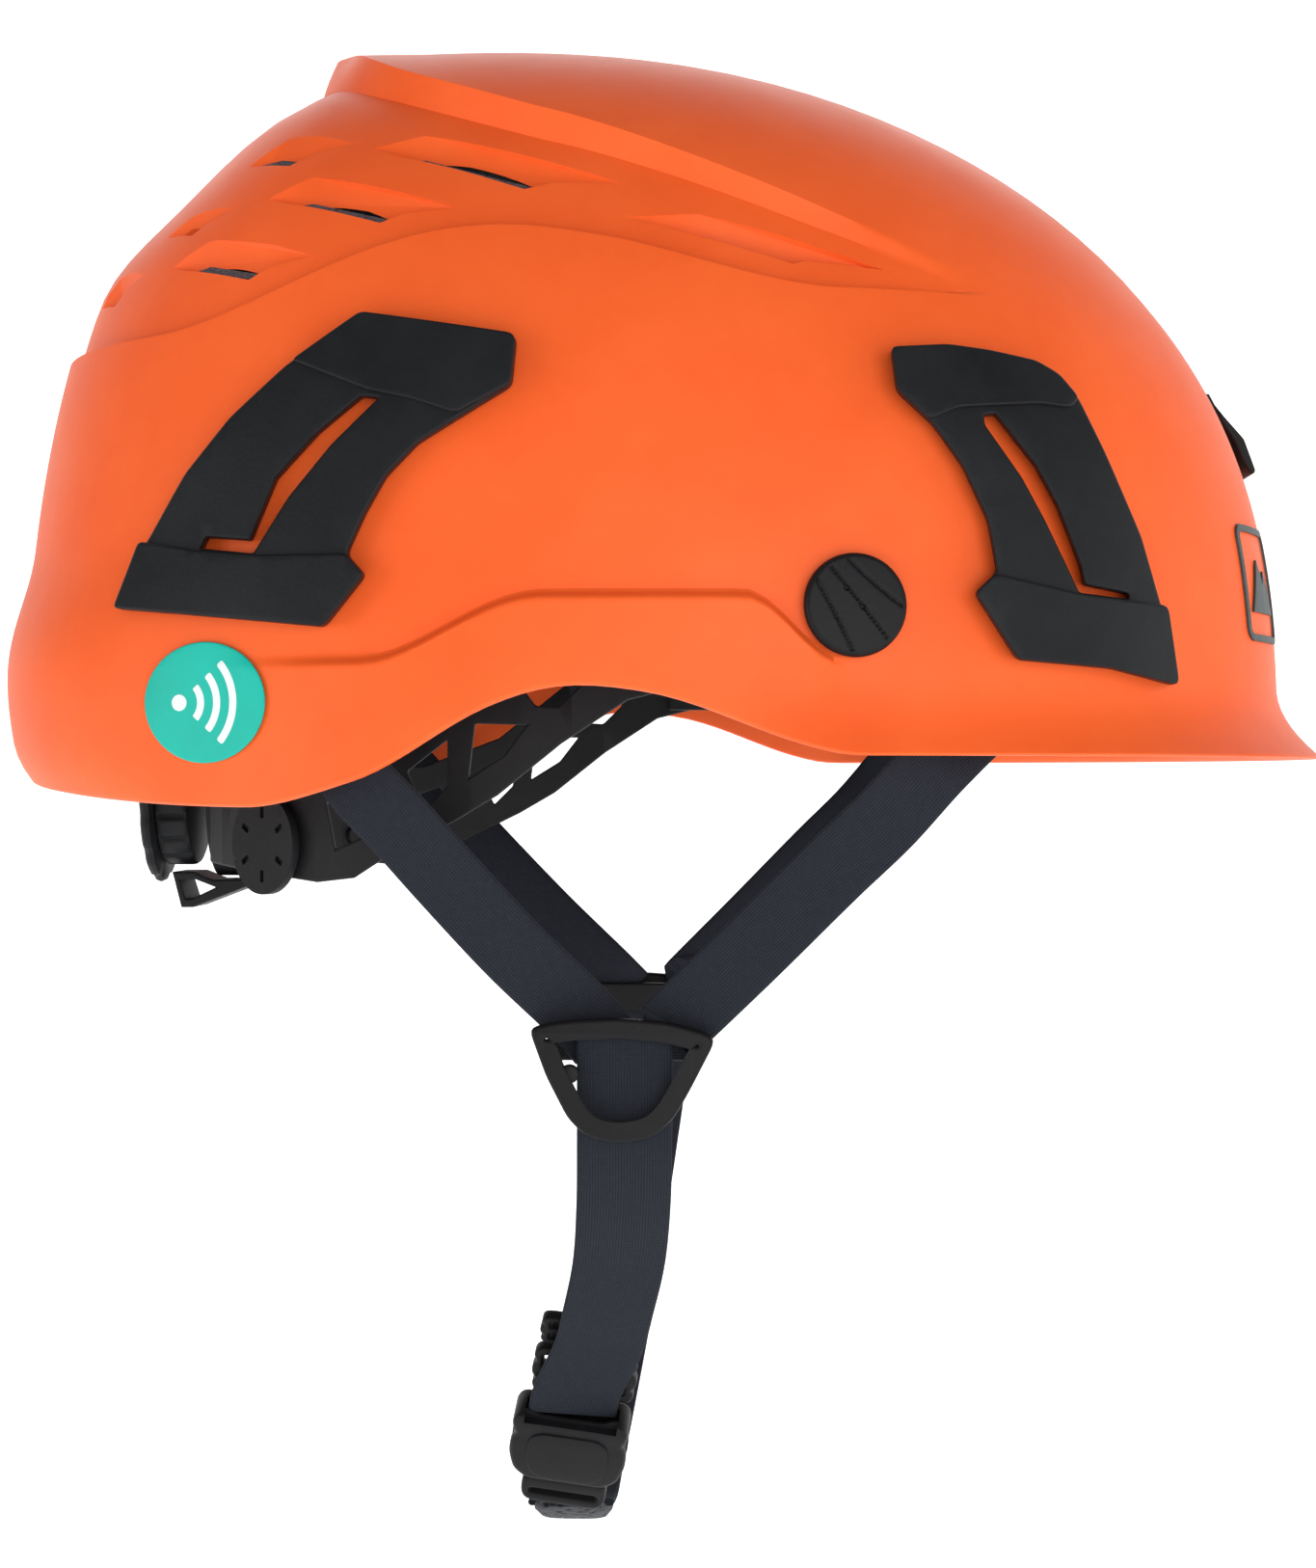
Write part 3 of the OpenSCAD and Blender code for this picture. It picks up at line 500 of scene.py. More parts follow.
def outward(mesh, weld=None):
    """Turns every face of a mesh outward, after joining points nearer than a distance."""
    work = bmesh.new()
    work.from_mesh(mesh)
    if weld is not None:
        bmesh.ops.remove_doubles(work, verts=work.verts, dist=weld)
    bmesh.ops.recalc_face_normals(work, faces=work.faces)
    work.to_mesh(mesh)
    work.free()


def fans(columns, rows, first, last):
    """Triangles from one point to the first row of a ring of columns, and from another to its last."""
    faces = []
    for i in range(columns):
        j = (i + 1) % columns
        faces.append((i * rows, first, j * rows))
        faces.append((i * rows + rows - 1, j * rows + rows - 1, last))
    return faces


def hull_object(solids):
    """One object holding the convex hull of each list of points."""
    work = bmesh.new()
    for points in solids:
        verts = [work.verts.new(Vector(p) * MM) for p in points]
        made = bmesh.ops.convex_hull(work, input=verts)
        spare = [g for g in made["geom_interior"] if isinstance(g, bmesh.types.BMVert)]
        bmesh.ops.delete(work, geom=spare, context="VERTS")
    bmesh.ops.recalc_face_normals(work, faces=work.faces)
    mesh = bpy.data.meshes.new("cutter")
    work.to_mesh(mesh)
    work.free()
    piece = bpy.data.objects.new("cutter", mesh)
    bpy.context.scene.collection.objects.link(piece)
    return piece


def carve(piece, solids, sharp):
    """Cuts the hull of each list of points away from a piece."""
    cutter = hull_object(solids)
    made = piece.modifiers.new("cut", "BOOLEAN")
    made.operation = "DIFFERENCE"
    made.solver = "EXACT"
    made.use_self = True
    made.object = cutter
    apply_modifiers(piece)
    bpy.data.objects.remove(cutter)
    smooth(piece, sharp)


# ---------------------------------------------------------------- shell

# Each vent: angle, height, length and height of the opening, its tilt, and the reach of its scoop
VENTS = [
    (100, 117.5, 27, 3.8, -24, 7),
    (115, 110, 22.6, 3.4, -18, 6.5),
    (130, 99, 19, 3.4, -13, 6),
    (76.5, 99.5, 17.4, 1.9, -22.6, 12.6),
    (126, 123.5, 11, 4.2, -14, 4.5),
    (140, 110.4, 9, 3.6, -9, 4),
    (155, 97.5, 9, 3.4, -7, 4),
]
SCOOP_RISE, SCOOP_DEPTH, CUT_ABOVE, CUT_THROUGH = 5.0, 2.4, 5.0, 14.0


def vent_point(vent, x, y, out):
    """Point on the right side's panel at a vent's own right and up, out from the panel."""
    angle, z, tilt = vent[0], vent[1], vent[4]
    across = (dome(angle + 0.5, z, 0) - dome(angle - 0.5, z, 0)).length
    rise = (dome(angle, z + 0.5, 0) - dome(angle, z - 0.5, 0)).length
    right = x * cos_d(tilt) - y * sin_d(tilt)
    up = x * sin_d(tilt) + y * cos_d(tilt)
    return dome(right / across - angle, z + up / rise, out - PANEL_RECESS)


def vent_block(vent, corners, low):
    """Points over an outline on the panel, from a distance of its own at each corner up past the shell."""
    return ([vent_point(vent, x, y, out) for (x, y), out in zip(corners, low)]
            + [vent_point(vent, x, y, CUT_ABOVE) for x, y in corners])


def opening(vent):
    """Corners of a vent's opening, from its lower left."""
    half, high, lean = vent[2] / 2, vent[3] / 2, 0.55 * vent[3]
    return [(-half - lean, -high), (half - lean, -high), (half + lean, high), (lean - half, high)]


def vent_solids(vent):
    """The scoop and the opening of one vent, as lists of points whose hulls are cut away."""
    half, high, lean, reach = vent[2] / 2, vent[3] / 2, 0.55 * vent[3], vent[5]
    hole = opening(vent)
    shoulder = (lean - half - 0.2 * reach, high + 0.85 * SCOOP_RISE)
    brow = (half, high + 1.05 * SCOOP_RISE)
    tip = (half + lean + reach + 3, high + 0.8 * SCOOP_RISE)
    end = (hole[0][0] - reach, -high)
    return [
        vent_block(vent, [hole[3], hole[2], tip, brow, shoulder], [-SCOOP_DEPTH, -SCOOP_DEPTH, 0, 0, 0]),
        vent_block(vent, [hole[0], hole[3], shoulder, end], [-SCOOP_DEPTH, -SCOOP_DEPTH, 0, 0]),
        vent_block(vent, hole, [-CUT_THROUGH] * 4),
    ]


def shell_column(angle):
    """Points of one upright slice of the shell: up the outside, over to the crown and down the inside."""
    a = fold(angle)
    rim, flange, seam, crown = rim_z(a), flange_z(a), seam_z(a), crown_z(a)
    heights = spread(rim + 1.0, flange - 2.0, 9)
    heights += [flange + step for step in (-1.4, -0.9, -0.4, 0.1, 0.6, 1.2, 2.0)]
    heights += spread(flange + 4, seam - 1.2, 26)
    heights += [seam + step for step in (-0.5, -0.1, 0.2, 0.5, 1.0)]
    start, end = (2.2, 2.6) if crown - seam > 6 else (1.1, 1.8)
    heights += spread(seam + start, crown - end, 14)
    half = step_half(a)
    tight = min(1.0, (CROWN_HEIGHT - crown) / (2.5 * half))
    heights += [crown + half * step for step in (-1.0, -0.5, 0.0, 0.5 * tight, tight, 1.5 * tight)]
    heights += [near_top(crown + 2 * half * tight, k / 22) for k in range(22)]
    edge = [(rim + 0.5, -0.05), (rim + 0.15, -0.4), (rim, -1.0), (rim, -1.7), (rim + 0.3, -2.4)]
    inner = spread(rim + 1.2, seam, 18) + [near_top(seam, k / 14) for k in range(1, 14)]
    inside = [dome(angle, z, shell_depth(a, z)) for z in reversed(inner)]
    inside += [dome(angle, z, low_out(a, z) + out) for z, out in reversed(edge)]
    outside = [dome(angle, z, low_out(a, z) + panel_out(a, z)) for z in heights]
    return inside + outside


def build_shell():
    columns = [shell_column(angle) for angle in spread(0, 358.75, 288)]
    rows = len(columns[0])
    points, faces = loft(columns, ring=True)
    top_in, top_out = len(points), len(points) + 1
    points += [dome(0, CROWN_HEIGHT, -PANEL_WALL), dome(0, CROWN_HEIGHT, CROWN_RISE * 0.6)]
    faces += fans(len(columns), rows, top_in, top_out)
    piece = make_piece("shell_skin", points, faces, ORANGE, None)
    cuts = [solid for vent in VENTS for solid in vent_solids(vent)]
    cuts += [mirror_points(solid) for solid in cuts]
    carve(piece, cuts, 28)
    dress(piece, ORANGE, "helmet", ["shell"])


build_shell()

# ---------------------------------------------------------------- flat mouldings


def rounded(points, radius):
    """Outline with each corner turned into a short curve."""
    out = []
    count = len(points)
    for i, corner in enumerate(points):
        here = Vector(corner)
        ends = []
        for other in (Vector(points[i - 1]), Vector(points[(i + 1) % count])):
            reach = min(radius, 0.45 * (other - here).length)
            ends.append(here + (other - here).normalized() * reach)
        for t in (0.0, 0.33, 0.67, 1.0):
            out.append(ends[0] * (1 - t) ** 2 + here * 2 * t * (1 - t) + ends[1] * t * t)
    return out


def inset(points, distance):
    """Convex outline, clockwise, moved in by a distance."""
    lines = []
    for i, point in enumerate(points):
        a, b = Vector(point), Vector(points[(i + 1) % len(points)])
        along = (b - a).normalized()
        lines.append((a + Vector((along.y, -along.x)) * distance, along))
    out = []
    for i, (b, db) in enumerate(lines):
        a, da = lines[i - 1]
        cross = da.x * db.y - da.y * db.x
        t = ((b - a).x * db.y - (b - a).y * db.x) / cross if abs(cross) > 1e-6 else 0.0
        out.append(a + da * t)
    return out


def circle(x, y, radius, count=48):
    return [Vector((x + radius * cos_d(360 * i / count), y + radius * sin_d(360 * i / count)))
            for i in range(count)]


def arc_band(x, y, radius, width, start, end, count=16):
    """Outline of part of a ring, with round ends left to the corner rounding."""
    turns = spread(start, end, count)
    outer = [Vector((x + (radius + width / 2) * cos_d(t), y + (radius + width / 2) * sin_d(t)))
             for t in turns]
    inner = [Vector((x + (radius - width / 2) * cos_d(t), y + (radius - width / 2) * sin_d(t)))
             for t in reversed(turns)]
    return outer + inner


def flat_solid(outlines, low, high, edge):
    """Mesh with rounded edges. Its points are right, up and outward in millimetres."""
    curve = bpy.data.curves.new("outline", "CURVE")
    curve.dimensions = "2D"
    curve.fill_mode = "BOTH"
    curve.extrude = (high - low) / 2 - edge
    curve.bevel_depth = edge
    curve.bevel_resolution = 2
    curve.offset = -edge
    for outline in outlines:
        spline = curve.splines.new("POLY")
        spline.points.add(len(outline) - 1)
        spline.use_cyclic_u = True
        for point, target in zip(outline, spline.points):
            target.co = (point[0], point[1], 0, 1)
    holder = bpy.data.objects.new("outline", curve)
    bpy.context.scene.collection.objects.link(holder)
    bpy.context.view_layer.update()
    mesh = bpy.data.meshes.new_from_object(holder.evaluated_get(bpy.context.evaluated_depsgraph_get()))
    bpy.data.objects.remove(holder)
    for vertex in mesh.vertices:
        vertex.co.z += (low + high) / 2
    return mesh


def cut_grid(mesh, step):
    """Cuts a flat solid along a square grid, so that it can bend."""
    work = bmesh.new()
    work.from_mesh(mesh)
    bmesh.ops.remove_doubles(work, verts=work.verts, dist=1e-4)
    for axis in (0, 1):
        low = min(v.co[axis] for v in work.verts)
        high = max(v.co[axis] for v in work.verts)
        normal = (1, 0, 0) if axis == 0 else (0, 1, 0)
        for i in range(1, int((high - low) / step) + 1):
            spot = [0, 0, 0]
            spot[axis] = low + i * step
            bmesh.ops.bisect_plane(work, geom=work.verts[:] + work.edges[:] + work.faces[:], plane_co=spot,
                                   plane_no=normal)
    bmesh.ops.recalc_face_normals(work, faces=work.faces)
    work.to_mesh(mesh)
    work.free()


def side_y(x, z, out):
    """Half width of the shell's face at a length and a height, out from the shell. Millimetres."""
    total, angle, low = out, 90.0, z
    for _ in range(5):
        low = z / (1 + total / CROWN_HEIGHT) if z > 0 else z
        rise = max(0.0, low) / CROWN_HEIGHT
        shrink = max(1e-4, 1 - rise ** DOME_POWER) ** (1 / DOME_POWER)
        along = x + CROWN_BACK * rise ** 3.3
        length = (FRONT_LENGTH if along > 0 else REAR_LENGTH) + total
        share = min(1.0, abs(along) / (length * shrink)) ** (PLAN_POWER / 2)
        angle = math.degrees(math.acos(share))
        angle = angle if along > 0 else 180 - angle
        total = low_out(angle, low) + out
    return (HALF_WIDTH + total) * shrink * sin_d(angle) ** (2 / PLAN_POWER)


def link_piece(name, mesh, material, body, replaces=(), sharp=40.0):
    piece = bpy.data.objects.new(name, mesh)
    bpy.context.scene.collection.objects.link(piece)
    smooth(piece, sharp)
    dress(piece, material, body, replaces)
    return piece


def on_side(name, outlines, low, high, edge, side, material, body, replaces=(), step=3.0):
    """Flat moulding, drawn from the side, that follows the shell's curved face."""
    mesh = flat_solid(outlines, low, high, edge)
    cut_grid(mesh, step)
    for vertex in mesh.vertices:
        x, z, out = vertex.co
        vertex.co = Vector((x, side * side_y(x, z, out), z)) * MM
    if side > 0:
        mesh.flip_normals()
    return link_piece(name, mesh, material, body, replaces)


def placed(name, outlines, low, high, edge, place, material, body, replaces=()):
    """Flat moulding moved into place by a matrix in millimetres."""
    mesh = flat_solid(outlines, low, high, edge)
    outward(mesh, 1e-4)
    mesh.transform(Matrix.Scale(MM, 4) @ place)
    return link_piece(name, mesh, material, body, replaces)


# ---------------------------------------------------------------- lamp clips, tag, plugs and hook

# Outlines of the lamp clips from the side, as length and height. Each has a head and a foot block.
REAR_CLIP = [
    (-53.5, 84.8), (-24, 79.6), (-23.3, 78.3), (-24, 69.6), (-34, 63.5), (-41.7, 58.8), (-47.7, 52.7),
    (-51.7, 45.7), (-55.2, 38), (-51.5, 34), (-59.5, 24.3), (-103.6, 29), (-98.3, 42), (-97, 41.5),
    (-88.8, 54.7), (-79.4, 65.4), (-68.4, 74.8),
]
REAR_SLOT = [
    (-52.8, 68.2), (-49.4, 67.7), (-58.5, 59), (-66.9, 49.1), (-73.8, 38.6), (-84.9, 40), (-83.8, 42.2),
    (-74.6, 41.2), (-69.6, 52.9), (-61.4, 61.4),
]
REAR_BLOCKS = [
    REAR_CLIP[:4] + [(-34.4, 64.2), (-43, 67.2), (-51.8, 69.3), (-60.5, 73), (-67, 75.8)],
    [(-98.5, 42), (-86, 39.6), (-73, 38.2)] + REAR_CLIP[8:12],
]
FRONT_CLIP = [
    (47.4, 77.3), (58.4, 78.3), (66.3, 77.6), (75.7, 76.1), (80.3, 73.7), (84.2, 69.2), (89.3, 58.7),
    (96.4, 42.5), (100.4, 29), (101.8, 28.7), (103.9, 14.9), (103.3, 13.9), (89.8, 16.8), (71.1, 18.1),
    (62.9, 30.6), (67.3, 34.7), (65.6, 44.4), (60.9, 54.6), (55.3, 62.5), (48.4, 68.9),
]
FRONT_SLOT = [
    (65, 64.6), (67.3, 65.1), (75.2, 55.2), (79.4, 47.5), (83.8, 36.2), (84.5, 32.7), (93.4, 31.3),
    (93.5, 30.2), (83.4, 31.1), (76.7, 44.8), (72.3, 52.8), (65.3, 62.7),
]
FRONT_BLOCKS = [
    FRONT_CLIP[:6] + [(82.5, 67), (76, 67.4), (68, 66.6), (60, 65.8), (54.5, 63.2), (48.4, 68.9)],
    [(66.9, 34.2), (83.2, 30.9), (93.4, 29.9), (100.6, 29.4)] + FRONT_CLIP[9:15],
]
TAG_SPOT, TAG_R, TAG_WIDEN = (-84.4, 10.4), 11.7, 1.1
PLUG_SPOT, PLUG_R = (74.5, 28.0), 9.8
# Each groove of a plug's face, in shares of its radius
PLUG_GROOVES = [
    [(-0.83, 0.58), (-0.42, -0.16), (-0.03, -1.0)],
    [(-0.56, 0.83), (-0.05, 0.17), (0.69, -0.76)],
    [(-0.23, 0.97), (0.3, 0.36), (0.97, -0.06)],
]
PLUG_DOTS = [(-0.19, 0.31), (0.11, -0.05)]
SIDES = ((1, "left"), (-1, "right"))


def build_clips():
    for side, name in SIDES:
        for end, outline, slot, blocks in (("rear", REAR_CLIP, REAR_SLOT, REAR_BLOCKS),
                                           ("front", FRONT_CLIP, FRONT_SLOT, FRONT_BLOCKS)):
            node = f"clip_{end}_{name}"
            shape = [rounded(outline, 1.2), rounded(slot, 0.5)]
            on_side(f"{node}_legs", shape, 0.2, 4.2, 0.5, side, SATIN_BLACK, "helmet", [node])
            for part, block in zip(("head", "foot"), blocks):
                on_side(f"{node}_{part}", [rounded(block, 1.2)], 3.4, 5.2, 0.45, side, SATIN_BLACK, "helmet")


def build_tag():
    x, z = TAG_SPOT
    disc = [(x + (px - x) * TAG_WIDEN, pz) for px, pz in circle(x, z, TAG_R)]
    on_side("tag_face", [disc], 0.15, 0.9, 0.25, -1, TEAL, "helmet", ["tag_disc"])
    prints = [circle(x - 5.2, z, 1.6, 24)]
    prints += [rounded(arc_band(x - 5.2, z, radius, 1.5, -42, 42), 0.5) for radius in (4.6, 8.0, 11.4)]
    for i, outline in enumerate(prints):
        on_side(f"tag_print_{i}", [outline], 0.8, 0.96, 0.04, -1, PRINT_WHITE, "helmet", step=2.0)


def groove_depth(x, y):
    """Depth of the plug's fanned grooves and dots at a point of its face."""
    depth = 0.0
    for a, b, c in PLUG_GROOVES:
        for t in spread(0, 1, 25):
            gx = a[0] * (1 - t) ** 2 + 2 * b[0] * t * (1 - t) + c[0] * t * t
            gy = a[1] * (1 - t) ** 2 + 2 * b[1] * t * (1 - t) + c[1] * t * t
            away = math.hypot(x - gx * PLUG_R, y - gy * PLUG_R)
            depth = max(depth, 0.4 * (1 - ease(away, 0.1, 0.55)))
    for dx, dy in PLUG_DOTS:
        depth = max(depth, 0.7 * (1 - ease(math.hypot(x - dx * PLUG_R, y - dy * PLUG_R), 0.35, 0.6)))
    return depth


def build_plugs():
    rim = [(0.0, 0.9), (8.6, 0.9), (9.5, 1.0), (PLUG_R, 1.3), (9.7, 2.0), (9.35, 2.45), (8.9, 2.65)]
    face = [(r, 2.65 + 0.35 * (1 - (r / 8.9) ** 2)) for r in spread(8.7, 0.3, 34)]
    stem = [(0.0, -5.5), (6.2, -5.5), (6.9, -5.0), (6.9, 0.9)]
    turns = spread(0, 357.5, 144)
    for side, name in SIDES:
        place = on_dome(-PLUG_SPOT[0], PLUG_SPOT[1])
        columns = []
        for t in turns:
            column = [(r * cos_d(t), r * sin_d(t), h) for r, h in stem[1:] + rim[1:]]
            for r, h in face:
                x, y = r * cos_d(t), r * sin_d(t)
                column.append((x, y, h - groove_depth(x, y)))
            columns.append([place @ Vector(p) for p in column])
        if side > 0:
            columns = [mirror_points(column) for column in columns]
        points, faces = loft(columns, ring=True, cap_start=True, cap_end=True)
        make_piece(f"plug_cap_{name}", points, faces, BUCKLE_BLACK, f"plug_{name}", [f"plug_{name}"])


def build_hook():
    def off(z, out):
        return (dome(0, z, 0).x + out, z)
    outline = [off(79.5, 0.3), off(74.2, 1.7), off(69.4, 3.7), off(62.4, 3.5), off(61.6, 2.4), off(63.4, 1.5),
               off(69, 1.3), off(73, 0.4)]
    place = Matrix.Rotation(math.radians(90), 4, "X")
    placed("hook_tongue", [rounded(outline, 0.6)], -11, 11, 0.5, place, BLACK, "helmet", ["lamp_hook"])


build_clips()
build_tag()
build_plugs()
build_hook()

# ---------------------------------------------------------------- straps

WEB_W, WEB_T, UPPER_W = 19.0, 1.5, 14.5
YOKE_Y, YOKE_Z = 70.0, -64.0
FRONT_ANCHOR, REAR_ANCHOR, SLACK_ANCHOR = 61.0, 116.0, 122.0
SLACK, SLACK_DROP = 8.0, 54.0
FRONT_PATH = [tuple(dome(FRONT_ANCHOR, 8, -8)), (56.5, 90, -1.2), (47, 86, -12), (36.3, 81, -22.5),
              (21, 75, -38), (6.6, YOKE_Y - 2.2, -52.3), (5.4, YOKE_Y - 2.3, -53.7)]
REAR_PATH = [(-55.5, 90, -3.5), (-47, 87, -13.2), (-38.5, 82, -23.4), (-26, 75, -37.8),
             (-13.6, YOKE_Y - 3.6, -50.8), (-8.6, YOKE_Y - 4.2, -56.6)]
CHIN_RIGHT = [(-4.2, 0.5 - YOKE_Y, -54.5), (-4.3, -68, -76), (-4.8, -61.5, -90), (-6.2, -51, -103),
              (-8.8, -42, -114.5), (-11.4, -34.2, -124), (-16.2, -27.4, -134.4), (-17.4, -24.6, -139.4)]
CHIN_RIGHT_FACES = [(0, -1, 0), (0, -1, -0.2), (0.05, -1, -0.5), (0.1, -1, -0.7), (0.12, -1, -0.7),
                    (0.12, -1, -0.65), (0.12, -1, -0.6), (0.12, -1, -0.58)]
CHIN_LEFT = [(-18.9, -6.5, -163), (-18.5, 6, -163.6), (-17.6, 19, -158), (-15.2, 31, -146), (-12.2, 43, -129),
             (-9.4, 54, -109), (-7, 62, -92), (-5, 67.5, -76), (-4.2, YOKE_Y - 0.5, -54.5)]
CHIN_LEFT_FACES = [(0, -0.3, -1), (0, 0.1, -1), (0, 0.5, -0.8), (0.1, 0.8, -0.6), (0.1, 1, -0.5),
                   (0.05, 1, -0.4), (0, 1, -0.3), (0, 1, -0.1), (0, 1, 0)]


def curve_points(path, count):
    """Even, smooth points along a path of vectors."""
    def at(i, t):
        p = [path[min(max(i + k, 0), len(path) - 1)] for k in (-1, 0, 1, 2)]
        return 0.5 * (2 * p[1] + (p[2] - p[0]) * t + (2 * p[0] - 5 * p[1] + 4 * p[2] - p[3]) * t * t
                      + (3 * p[1] - p[0] - 3 * p[2] + p[3]) * t ** 3)
    return [at(min(int(s), len(path) - 2), s - min(int(s), len(path) - 2))
            for s in spread(0, len(path) - 1, count)]


def tape(name, path, normals, width, thick, material, body, replaces=(), count=72):
    """Flat webbing along a path in millimetres, with rounded edges and a measure for its weave."""
    path = curve_points([Vector(p) for p in path], count)
    normals = curve_points([Vector(n).normalized() for n in normals], count)
    half, t = width / 2, thick / 2
    outline = [(-half, 0), (-half + 0.3 * t, 0.75 * t)]
    outline += [(x, t) for x in spread(-half + 0.9 * t, half - 0.9 * t, 9)]
    outline += [(half - 0.3 * t, 0.75 * t), (half, 0)]
    outline += [(x, -y) for x, y in reversed(outline[1:-1])]
    points, run = [], [0.0]
    for i, here in enumerate(path):
        along = (path[min(i + 1, count - 1)] - path[max(i - 1, 0)]).normalized()
        across = normals[i].cross(along).normalized()
        lift = along.cross(across).normalized()
        points += [here + across * x + lift * y for x, y in outline]
        if i:
            run.append(run[-1] + (here - path[i - 1]).length)
    rows = len(outline)
    faces = []
    for i in range(count - 1):
        for k in range(rows):
            m = (k + 1) % rows
            faces.append((i * rows + k, (i + 1) * rows + k, (i + 1) * rows + m, i * rows + m))
    faces.append(tuple(reversed(range(rows))))
    faces.append(tuple((count - 1) * rows + k for k in range(rows)))
    mesh = bpy.data.meshes.new(name)
    mesh.from_pydata([p * MM for p in points], [], faces)
    layer = mesh.uv_layers.new(name="tape")
    for loop in mesh.loops:
        i, k = divmod(loop.vertex_index, rows)
        layer.data[loop.index].uv = (run[i], outline[k][0])
    outward(mesh)
    return link_piece(name, mesh, material, body, replaces, 60)


def upper_strap(name, route, lean, side):
    route = [(x, side * y, z) for x, y, z in route]
    faces = [(lean * (0.35 - 0.05 * k), side, 0.1) for k in range(len(route))]
    piece = tape(f"web_{name}", route, faces, UPPER_W, WEB_T, WEBBING, None, [f"strap_{name}"])
    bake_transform(piece)


def build_straps():
    for side, name in SIDES:
        slack, angle = (SLACK, SLACK_ANCHOR) if side > 0 else (0.0, REAR_ANCHOR)
        rear = [tuple(dome(angle, 8, -8))]
        rear += [(x - slack * (z - YOKE_Z) / SLACK_DROP, y, z) for x, y, z in REAR_PATH]
        upper_strap(f"front_{name}", FRONT_PATH, 1, side)
        upper_strap(f"rear_{name}", rear, -1, side)
    tape("web_chin_right", CHIN_RIGHT, CHIN_RIGHT_FACES, WEB_W, WEB_T, WEBBING, "chin_loop",
         ["chin_strap_right"])
    left = tape("web_chin_left", CHIN_LEFT, CHIN_LEFT_FACES, WEB_W, WEB_T, WEBBING, None, ["chin_strap_left"])
    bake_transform(left)


build_straps()

# ---------------------------------------------------------------- yokes and buckle

YOKE = [
    (-22.9, 9.9), (-21.5, 11), (-15.2, 12), (-5.4, 12.5), (4.5, 11.7), (12.4, 9.5), (13.8, 7.9), (8.9, -1.6),
    (5.6, -7.4), (1.5, -11), (-5.4, -12.2), (-11.4, -11), (-15.2, -7.6), (-19.6, 0.9),
]
BUCKLE_PLACE = (Matrix.Translation((-18.3, -20, -146.3)) @ Matrix.Rotation(math.radians(8), 4, "Y")
                @ Matrix.Rotation(math.radians(30), 4, "X"))
SOCKET_SIDE = [(7, 8.2), (8.6, 9.4), (11.2, 9.2), (12.5, 7.2), (12.2, 4.8), (11.5, 3.8), (12.5, 1.6),
               (12.6, -2), (11.4, -6.2), (8.4, -8.6)]
LADDER_SIDE = [(9.6, 12), (11.4, 11.4), (12, 9.6), (11, 8.2), (12.1, 6.8), (12.1, 4.8), (11, 3.6),
               (11.9, 2.2), (11.3, 0.5), (9.6, 0)]


def both_sides(half):
    return half + [(-x, y) for x, y in reversed(half)]


def rectangle(left, right, low, high):
    return [(left, low), (right, low), (right, high), (left, high)]


def box_points(x, y, z):
    return [Vector((a, b, c)) for a in x for b in y for c in z]


def build_yokes():
    upright = Matrix.Rotation(math.radians(90), 4, "X")
    for side, name in SIDES:
        place = Matrix.Scale(-side, 4, (0, 1, 0)) @ Matrix.Translation((0, -YOKE_Y - 0.4, YOKE_Z)) @ upright
        ring = [rounded(YOKE, 2.0), rounded(inset(YOKE, 3.1), 2.4)]
        placed(f"yoke_ring_{name}", ring, 0, 2.8, 0.8, place, BUCKLE_BLACK, "chin_loop", [f"yoke_{name}"])
        placed(f"yoke_tooth_{name}", [circle(-15.0, 1.4, 1.9, 24)], 0.3, 2.3, 0.5, place, BUCKLE_BLACK,
               "chin_loop")
        placed(f"yoke_bar_{name}", [rounded(rectangle(-19.9, 11, 3.4, 10.4), 1.2)], -7.2, -5.4, 0.6, place,
               BUCKLE_BLACK, "chin_loop")
        for end, x in (("rear", -19.9), ("front", 9.3)):
            post = rounded(rectangle(x, x + 1.5, 3.4, 5.8), 0.4)
            placed(f"yoke_post_{end}_{name}", [post], -6.0, 1.0, 0.2, place, BUCKLE_BLACK, "chin_loop")


